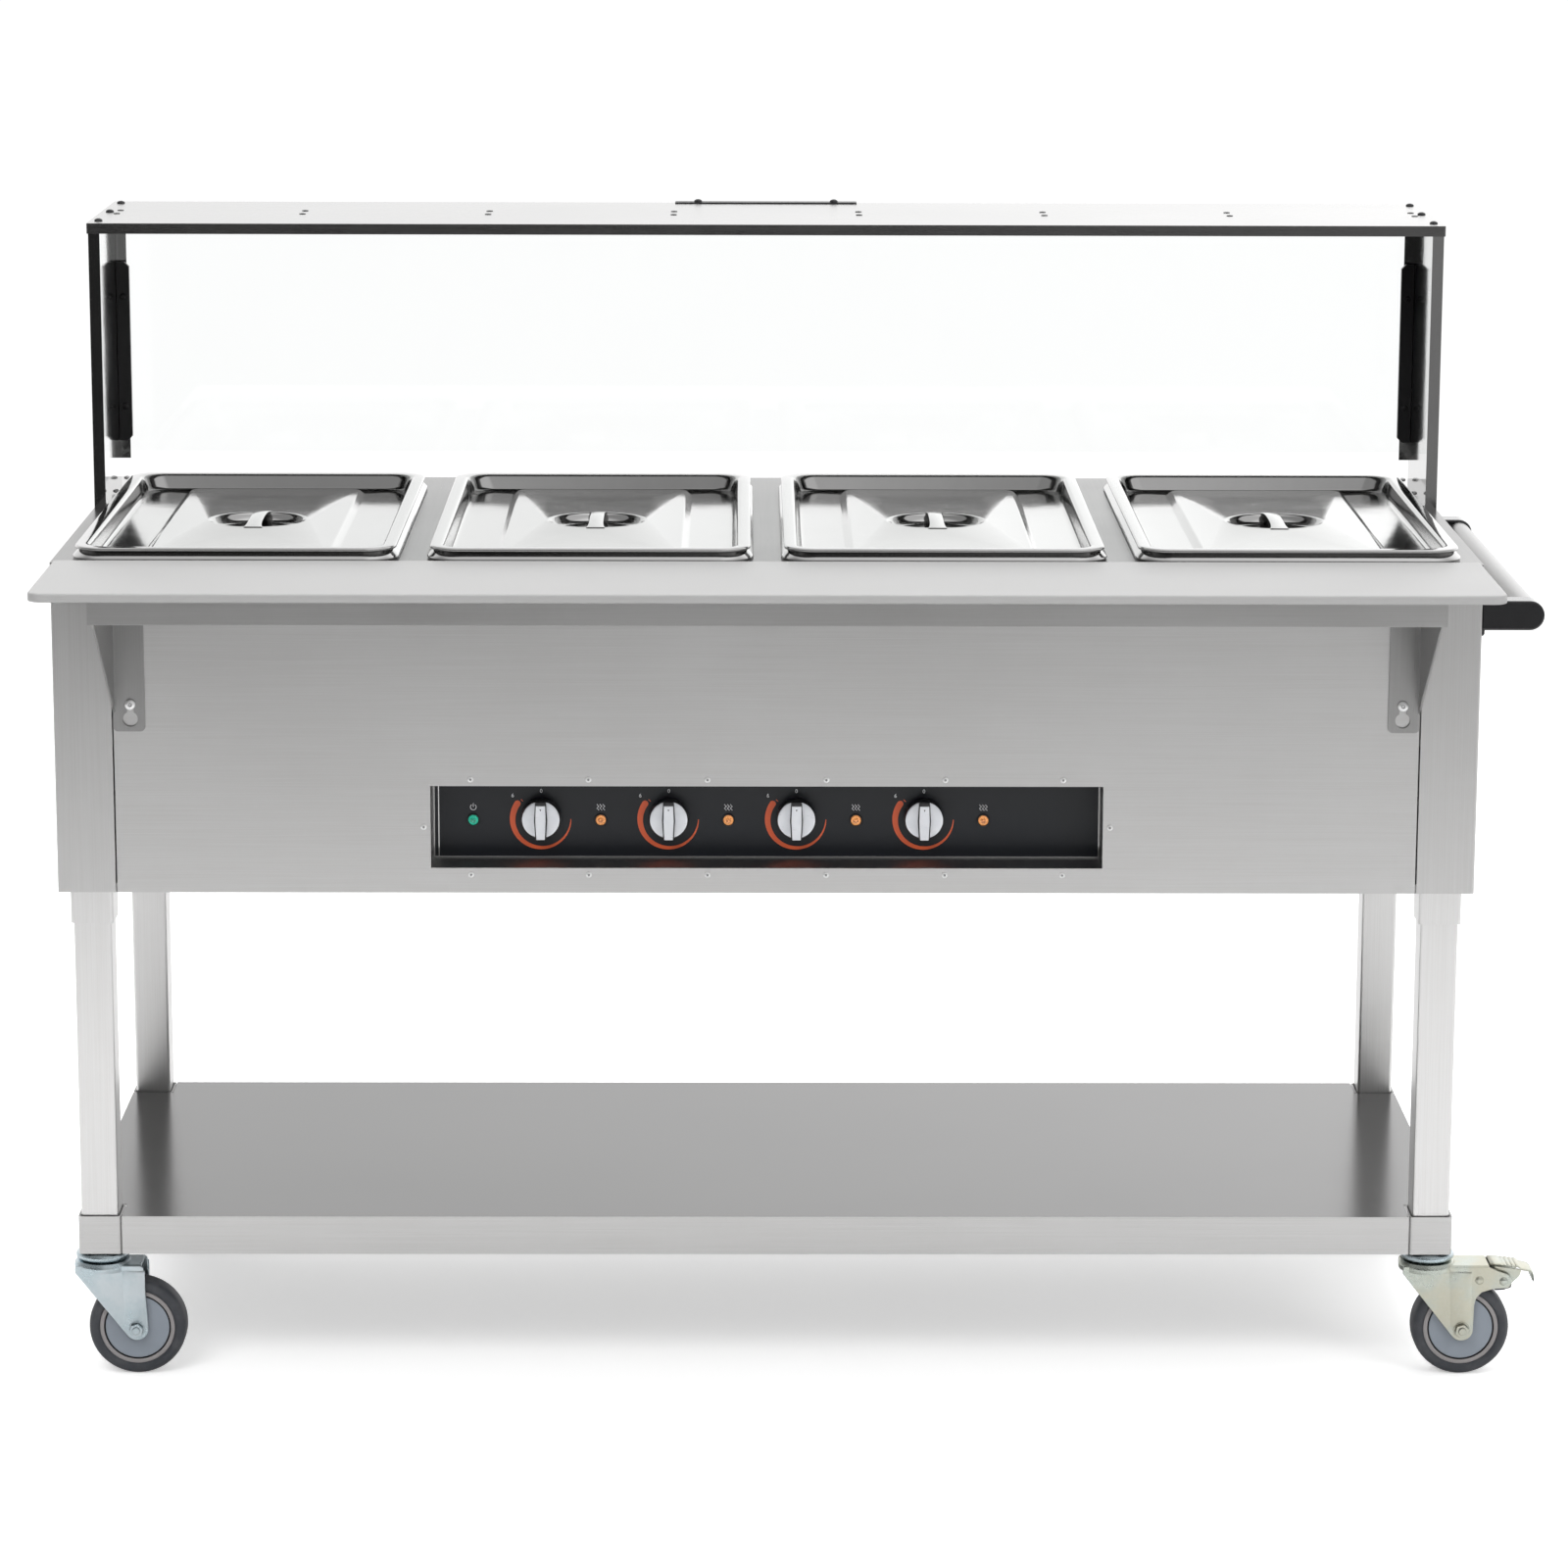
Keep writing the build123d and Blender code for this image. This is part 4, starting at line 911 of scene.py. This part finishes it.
def printed_signs():
    """Off and full marks over each knob, and a generic sign over each lamp."""
    shape = Shape()
    for x in knob_xs:
        digit(shape, "0", x, dial_z + 29.2 * mm)
        digit(shape, "6", x - 29 * mm, dial_z + 24.5 * mm)
    half_line = Vector((0.35 * mm, 0, 0))
    wave_height, wave_steps = 6.4, 12
    for x in lamp_xs:
        for shift in (-3.0, 0.0, 3.0):
            heights = [wave_height * (step / wave_steps - 0.5) for step in range(wave_steps + 1)]
            start = Vector((x, film_y, sign_z))
            bend = [start + offset(shift + 0.9 * sin(height * 1.6), 0, height) for height in heights]
            stroke(shape, [point - half_line for point in bend], [point + half_line for point in bend])
    centre = Vector((power_x, film_y, sign_z))
    ring_start, ring_sweep, ring_steps = 125, 290, 32
    directions = [upright(ring_start + ring_sweep * step / ring_steps) for step in range(ring_steps + 1)]
    stroke(shape, [centre + d * 2.6 * mm for d in directions], [centre + d * 3.3 * mm for d in directions])
    shape.box(centre + offset(-0.35, 0, 0.2), centre + offset(0.35, -0.12, 3.9))
    piece("panel_signs", "frame", shape, [ink_white], sharp=60)


dial_marks()
printed_signs()


# ---------------------------------------------------------------- recess trim and roof grommets
def make_recess_trim():
    """Folded steel edges that frame the film on its left, right and bottom."""
    low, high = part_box("control_panel")
    # The film runs one sheet's thickness behind the walls of the recess.
    sheet, fold, lip = 1.3 * mm, 1.2 * mm, 1.4 * mm
    left, right = low.x + sheet, high.x - sheet
    bottom, top = low.z + sheet, high.z - sheet
    back, near = low.y, low.y - fold
    trim = Shape()
    for x in (left, left + 4.6 * mm, right - fold):
        trim.box((x, near, bottom + lip), (x + fold, back, top))
    trim.box((left, near, bottom), (right, back, bottom + lip))
    piece("recess_trim", "frame", trim, [steel_pressed], bevel=0.3 * mm)


def make_grommets():
    """Black grommets in the holes that a lamp bar bolts through."""
    roof_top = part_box("guard_roof")[1].z
    pairs, pitch, rows = 8, 199.0, (457, 493)
    section = [(0.9, -1.2), (2.1, -1.2), (2.1, 0.0), (3.6, 0.0)]
    section += [(3.4, 0.7), (1.6, 0.9), (0.9, 0.3), (0.9, -1.2)]
    rims = Shape()
    for index in range(pairs):
        for y in rows:
            centre = place((index - (pairs - 1) / 2) * pitch, y, 0)
            centre.z = roof_top
            rims.lathe(section, centre, (0, 0, 1), 24)
    piece("roof_grommets", "frame", rims, [black_satin])


make_recess_trim()
make_grommets()

# ---------------------------------------------------------------- screws
control_z = middle("control_knob_1").z / mm
face_xs = (-298.5, -179.7, -59.9, 59.9, 179.7, 298.5)
face_places = [place(x, -0.02, z) for z in (530.7, 628.8) for x in face_xs]
face_places += [place(x, -0.02, control_z) for x in (-346, 346)]
hook_places = [place(x, -2.5, 705.6) for x in (-638.6, 638.6)]
guard_xs = (-706, 706)
guard_rows = [(x, y) for x in guard_xs for y in (375, 475, 575)]
foot_places = [place(x, y, 850.2) for x, y in guard_rows]
roof_places = [place(x, y, 1153.0) for x, y in guard_rows] + [place(x, 593, 1154.5) for x in (-74.5, 74.5)]
rail_places = [place(x, 572.8, z) for x in guard_xs for z in (930, 1051)]
face_size, hook_size = (3.0, 1.7, 1.2), (5.4, 2.9, 1.9)
foot_size, roof_size = (3.7, 2.2, 1.3), (4.4, 3.0, 1.5)
to_front, upwards = (pi / 2, 0, 0), (0, 0, 0)
screws("face_screws", face_places, face_size, to_front, screw_bright, ["body_screws"])
screws("hook_screws", hook_places, hook_size, to_front, screw_bright)
screws("foot_screws", foot_places, foot_size, upwards, screw_bright)
screws("roof_screws", roof_places, roof_size, upwards, black_satin, ["guard_screws"])
screws("rail_screws", rail_places, foot_size, to_front, black_satin)


# ---------------------------------------------------------------- push handle and cable gland
def make_handle():
    """Metal tube between two black brackets with round ends and flared feet."""
    low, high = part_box("handle_tube")
    axis = middle("handle_tube")
    outer, span, wall = (high.x - low.x) / 2 / mm, (high.y - low.y) / mm, 1.5
    section = [(outer - wall, 0), (outer, 0), (outer, span), (outer - wall, span), (outer - wall, 0)]
    tube = Shape()
    tube.lathe(section, Vector((axis.x, high.y, axis.z)), front, 64)
    piece("push_tube", "frame", tube, [tube_satin], ["handle_tube"])
    wall_x = place(716, 0, 0).x
    half, depth, steps = 15.0, 28, 16
    ends = Shape()
    for y, inward in ((28.0, 1), (559.0, -1)):
        start = place(0, y - inward * depth / 2, 0).y
        centre = Vector((axis.x, start, axis.z))
        outline = [centre + upright(-90 + 180 * step / steps) * half * mm for step in range(steps + 1)]
        outline += [Vector((wall_x, start, axis.z + side * half * mm)) for side in (1, -1)]
        ends.prism(outline, offset(0, inward * depth, 0))
        foot = [Vector((wall_x, start, axis.z + z * mm)) for z in (-22, 22)]
        foot += [Vector((wall_x + 5 * mm, start, axis.z + z * mm)) for z in (20, -20)]
        ends.prism(foot, offset(0, inward * depth, 0))
    paints = [black_gloss]
    piece("handle_brackets", "frame", ends, paints, ["handle_ends"], bevel=2.2 * mm, steps=4)


def make_gland():
    """Cable gland: hexagon against the back panel, and a domed cap with grip ribs."""
    centre = middle("cable_gland")
    centre.y = place(0, 590, 0).y
    shape = Shape()
    shape.prism([centre + upright(60 * corner) * 15 * mm for corner in range(6)], offset(0, 6, 0))
    dome = [
        (5.0, 3), (10.5, 3), (12.0, 6), (12.6, 7), (12.6, 13), (11.8, 16), (9.6, 18.4), (7.5, 19), (5.0, 19),
        (5.0, 3),
    ]
    shape.lathe(dome, centre, (0, 1, 0), 48)
    ribs = 24
    for rib in range(ribs):
        direction = upright(360 * rib / ribs)
        outline = [
            centre + (direction * out + across(direction) * side) * mm + offset(0, 7.5, 0)
            for out, side in ((12.2, -0.6), (13.2, -0.3), (13.2, 0.3), (12.2, 0.6))
        ]
        shape.prism(outline, offset(0, 5, 0))
    paints = [black_satin]
    piece("cord_gland", "frame", shape, paints, ["cable_gland"], bevel=0.3 * mm, steps=1)


make_handle()
make_gland()


# ---------------------------------------------------------------- casters
def arc_points(centre_x, centre_z, radius, start, end, steps=10):
    angles = [radians(start + (end - start) * step / steps) for step in range(steps + 1)]
    return [(centre_x + radius * cos(a), centre_z + radius * sin(a)) for a in angles]


def plate(shape, base, outline, y, thick):
    """Flat plate that faces the front, from (x, z) points in millimetres about a base."""
    shape.prism([base + offset(x, y, z) for x, z in reversed(outline)], offset(0, thick, 0))


def make_fork(corner, base, axle, braked, zinc):
    """Ball race, two cheeks with pressed ribs, the saddle that joins them, and the bolts."""
    body = f"caster_{corner}"
    crown = [
        (5.3, 119.0), (12, 121.0), (24, 121.2), (27.2, 120.4), (29.0, 117.6), (29.4, 114), (28.8, 111),
        (27.2, 111), (26.0, 115), (23, 117.6), (5.3, 117.6), (5.3, 119.0),
    ]
    race = Shape()
    race.lathe(crown, base, (0, 0, 1), 64)
    piece(f"caster_crown_{corner}", body, race, [zinc])

    outline = [(-27, 114.5)]
    if braked:
        outline += [(-26, 117.5), (62, 117.0), (72, 112.5)]
        outline += arc_points(77, 102, 8.5, 70, -60, 8)
        outline += [(66, 93.5), (55, 90), (49.5, 84), (47.5, 76)]
    else:
        outline += [(-26, 117.5), (40, 117.5), (43, 115.5)]
    outline += [(47, 52)]
    outline += arc_points(35, 50, 12, 5, -140, 12)
    outline += [(-27, 110)]
    cheeks = Shape()
    for y in (-20.5, 18.0):
        plate(cheeks, base, outline, y, 2.5)
    stands_for = [f"caster_fork_{corner}"]
    piece(f"caster_cheeks_{corner}", body, cheeks, [zinc], stands_for, bevel=0.8 * mm, steps=3)

    rim = [(21, 112.5), (44.5, 112.5), (44.5, 56)] + arc_points(35, 51, 8.5, 0, -150, 10) + [(23.5, 54)]
    crest = [(24, 109), (42.5, 109), (42.5, 56)] + arc_points(35, 52, 6.5, 0, -150, 10) + [(26, 56)]
    pressed = Shape()
    for side in (-1, 1):
        lower = pressed.ring([base + offset(x, side * 20.45, z) for x, z in rim])
        upper = pressed.ring([base + offset(x, side * 21.35, z) for x, z in crest])
        pressed.skin([lower, upper])
        pressed.face(upper if side > 0 else list(reversed(upper)))
        pressed.face(list(reversed(lower)) if side > 0 else lower)
    piece(f"caster_ribs_{corner}", body, pressed, [zinc], sharp=25)

    section = [
        (-20.4, 112.0), (-20.2, 116.5), (-18, 118.3), (18, 118.3), (20.2, 116.5), (20.4, 112.0),
        (18.2, 112.0), (17.4, 115.8), (-17.4, 115.8), (-18.2, 112.0),
    ]
    saddle = Shape()
    rings = [saddle.ring([base + offset(x, y, z) for y, z in section]) for x in (-14, 62 if braked else 41)]
    saddle.skin(rings)
    saddle.cap(rings)
    piece(f"caster_saddle_{corner}", body, saddle, [zinc], bevel=0.5 * mm)

    washer = [(0, -0.5), (8.5, -0.5), (8.5, 1.0), (8.1, 1.5), (0, 1.5)]
    stud = [(0, 6.4), (3.9, 6.4), (3.9, 7.6), (3.3, 8.2), (0, 8.2)]
    rivet = [(0, -0.3), (4.4, -0.3), (4.4, 0.2), (3.6, 1.2), (1.8, 1.9), (0, 2.0)]
    cheek_y = 20.5
    bolts = Shape()
    for side in (-1, 1):
        face = axle + offset(0, side * cheek_y, 0)
        axis = (0, side, 0)
        bolts.lathe(washer, face, axis, 40)
        hexagon = [face + upright(60 * flat + 15) * 7.3 * mm + offset(0, side * 1.4, 0) for flat in range(6)]
        bolts.prism(hexagon, offset(0, side * 5.2, 0))
        bolts.lathe(stud, face, axis, 24)
    for x, z in ((77, 102), (52, 103)) if braked else ():
        for side in (-1, 1):
            bolts.lathe(rivet, base + offset(x, side * cheek_y, z), (0, side, 0), 24)
    piece(f"axle_bolts_{corner}", body, bolts, [zinc], [f"caster_bolts_{corner}"], bevel=0.3 * mm)


def make_wheel(corner, axle):
    """Tyre, and a wheel centre with a pale ring, a black groove and a grey disc on each side."""
    body = f"wheel_{corner}"
    shoulder = [(38.5, 13.6), (40.5, 15.4), (43.5, 16), (46.2, 15.2), (48.4, 13.2), (49.6, 10.4), (50, 7)]
    section = [(radius, -height) for radius, height in shoulder] + shoulder[::-1] + [(38.5, -13.6)]
    tread = Shape()
    tread.lathe(section, axle, front, 96)
    piece(f"wheel_tyre_{corner}", body, tread, [rubber], [f"tyre_{corner}"], sharp=60)

    ring = [(38.5, 0.0), (38.5, 13.6), (37.6, 14.0), (35.4, 14.2), (34.6, 13.9), (34.3, 13.0)]
    groove = [(34.3, 13.0), (34.2, 10.6), (32.9, 10.6), (32.8, 12.8)]
    disc = [(32.8, 12.8), (32.2, 13.3), (12, 13.5), (10.5, 14.2), (10, 17.4), (4.05, 17.6), (4.05, 0.0)]
    hub = Shape()
    for side in (-1, 1):
        for finish, profile in ((0, ring), (2, groove), (1, disc)):
            hub.finish = finish
            hub.lathe(profile, axle, (0, side, 0), 96)
    bmesh.ops.remove_doubles(hub.mesh, verts=hub.mesh.verts, dist=0.01 * mm)
    paints = [wheel_ring, wheel_disc, groove_black]
    piece(f"wheel_centre_{corner}", body, hub, paints, [f"wheel_hub_{corner}"])


def make_pedal(corner, base, zinc):
    """Ribbed foot pedal with a turned-down tail, ears round its pivot and a rubber shoe."""
    body = f"pedal_{corner}"
    spine = [(63.5, 119.2), (68, 119.6), (74, 119.4)]
    for rib in range(4):
        x, z = 76 + rib * 4.5, 118.4 - rib * 0.5
        spine += [(x, z), (x + 1.8, z + 0.8), (x + 3.6, z)]
    spine += [(96, 114.4), (101, 113.6), (105.0, 112.6), (107.6, 110.4), (108.8, 106.5), (109.2, 101.0)]
    pedal = Shape()
    rows = []
    for x, z in spine:
        wide = 15 - max(0, x - 100) * 0.10
        half = [(wide, -2.2), (wide, -0.4), (wide - 1.2, 0)]
        profile = [(-y, lift) for y, lift in half] + half[::-1]
        rows.append(pedal.ring([base + offset(x, y, z + lift) for y, lift in profile]))
    pedal.skin(rows, around=False)
    bmesh.ops.reverse_faces(pedal.mesh, faces=pedal.mesh.faces)
    stands_for = [f"brake_pedal_{corner}"]
    piece(f"pedal_plate_{corner}", body, pedal, [zinc], stands_for, wall=1.6 * mm, sharp=50)
    ears = Shape()
    outline = [(68, 116.5), (96, 113), (94, 106), (86, 98)] + arc_points(77, 102, 8, -30, -150, 6)
    for y in (-14.6, 12.8):
        plate(ears, base, outline, y, 1.8)
    piece(f"pedal_ears_{corner}", body, ears, [zinc], bevel=0.4 * mm)
    shoe = Shape()
    plate(shoe, base, [(68, 96), (76, 98), (87, 97), (86, 92.5), (78, 90.0), (69, 89.5)], -12, 24)
    piece(f"brake_shoe_{corner}", body, shoe, [rubber], bevel=1.0 * mm, steps=3)


def make_stem(stems, base):
    """Upper race, king pin and square plug of one caster, fixed in its leg."""
    race = [
        (0, 108), (5, 108), (5, 122.2), (12, 122.4), (22, 122.2), (25.5, 122.6), (27.2, 124.4), (27.5, 126.6),
        (26.6, 128.6), (24, 129.8), (19, 130.4), (16, 131), (0, 131),
    ]
    nut = [(0, 105), (8.6, 105), (9, 105.6), (9, 107.4), (8.6, 108), (0, 108)]
    stems.lathe(race, base, (0, 0, 1), 64)
    stems.lathe(nut, base, (0, 0, 1), 32)
    stems.prism(rounded(base, 34, 34, 3, 131, 3), offset(0, 0, 40))


stems = Shape()
for corner in corners:
    swivel = Vector(joints[f"swivel_{corner}"]["pos_m"])
    axle = Vector(joints[f"roll_{corner}"]["pos_m"])
    base = Vector((swivel.x, swivel.y, 0))
    braked = f"brake_{corner}" in joints
    zinc = zinc_warm if swivel.x > datum.x else zinc_cool
    make_fork(corner, base, axle, braked, zinc)
    make_wheel(corner, axle)
    if braked:
        make_pedal(corner, base, zinc)
    make_stem(stems, base)
piece("caster_races", "frame", stems, [zinc_cool], ["caster_stems"])


# ---------------------------------------------------------------- floor and light
def make_floor():
    """Plain pale floor that runs out into the white surround."""
    mesh = bpy.data.meshes.new("floor")
    side, near, far = 4.5, -3.5, 4.5
    mesh.from_pydata([(-side, near, 0), (side, near, 0), (side, far, 0), (-side, far, 0)], [], [(0, 1, 2, 3)])
    floor = stand("floor", mesh)
    paint = Paint("floor_white")
    cloud = paint.noise((0.5, 0.5, 0.5))
    color = paint.mix(cloud, gray(0.86), gray(0.88))
    direct = paint.add("ShaderNodeLightPath", output="Is Camera Ray")
    lift = paint.mix(direct, gray(0.0), gray(0.42))
    mesh.materials.append(paint.finish(color, cloud * 0.1 + 0.8, Emission_Color=lift, Emission_Strength=1.0))


def soft_box(name, location, target, size, power):
    light = bpy.data.lights.new(name, "AREA")
    light.shape = "RECTANGLE"
    light.size, light.size_y = size
    light.energy = power
    lamp = stand(name, light)
    lamp.location = location
    lamp.rotation_euler = (Vector(target) - Vector(location)).to_track_quat("-Z", "Y").to_euler()
    lamp.visible_glossy = False


def make_studio():
    """White surround for the camera; reflections see a bright wall behind and dimmer sides."""
    world = bpy.data.worlds.new("studio")
    scene.world = world
    studio = Paint("studio", world, "Generated")
    x, y, z = studio.axes(studio.coordinates)
    behind = studio.ramp(y, 0.1, 0.8)
    ahead = studio.ramp(y, -0.2, -0.8)
    overhead = studio.ramp(z, 0.75, 0.95)
    right = studio.ramp(x, -0.12, 0.25)
    low = studio.ramp(z, 0.40, 0.12)
    light = 0.36 + behind * 0.84 + overhead * 0.45 + right * 0.38 - ahead * low * 0.33
    direct = studio.add("ShaderNodeLightPath", output="Is Camera Ray")
    strength = direct * 1.05 + (1 - direct) * light
    shader = studio.add("ShaderNodeBackground", values={"Color": gray(1.0), "Strength": strength})
    studio.add("ShaderNodeOutputWorld", values={"Surface": shader})


make_floor()
make_studio()
soft_box("key_light", (-1.8, -3.4, 3.6), (0, 0, 0.7), (2.4, 1.8), 90)
soft_box("fill_light", (2.8, -2.8, 2.2), (0, 0, 0.6), (1.6, 2.0), 40)
soft_box("top_light", (0, 0.2, 3.8), (0, 0, 0), (3.0, 1.4), 70)
scene.view_settings.view_transform = "Standard"
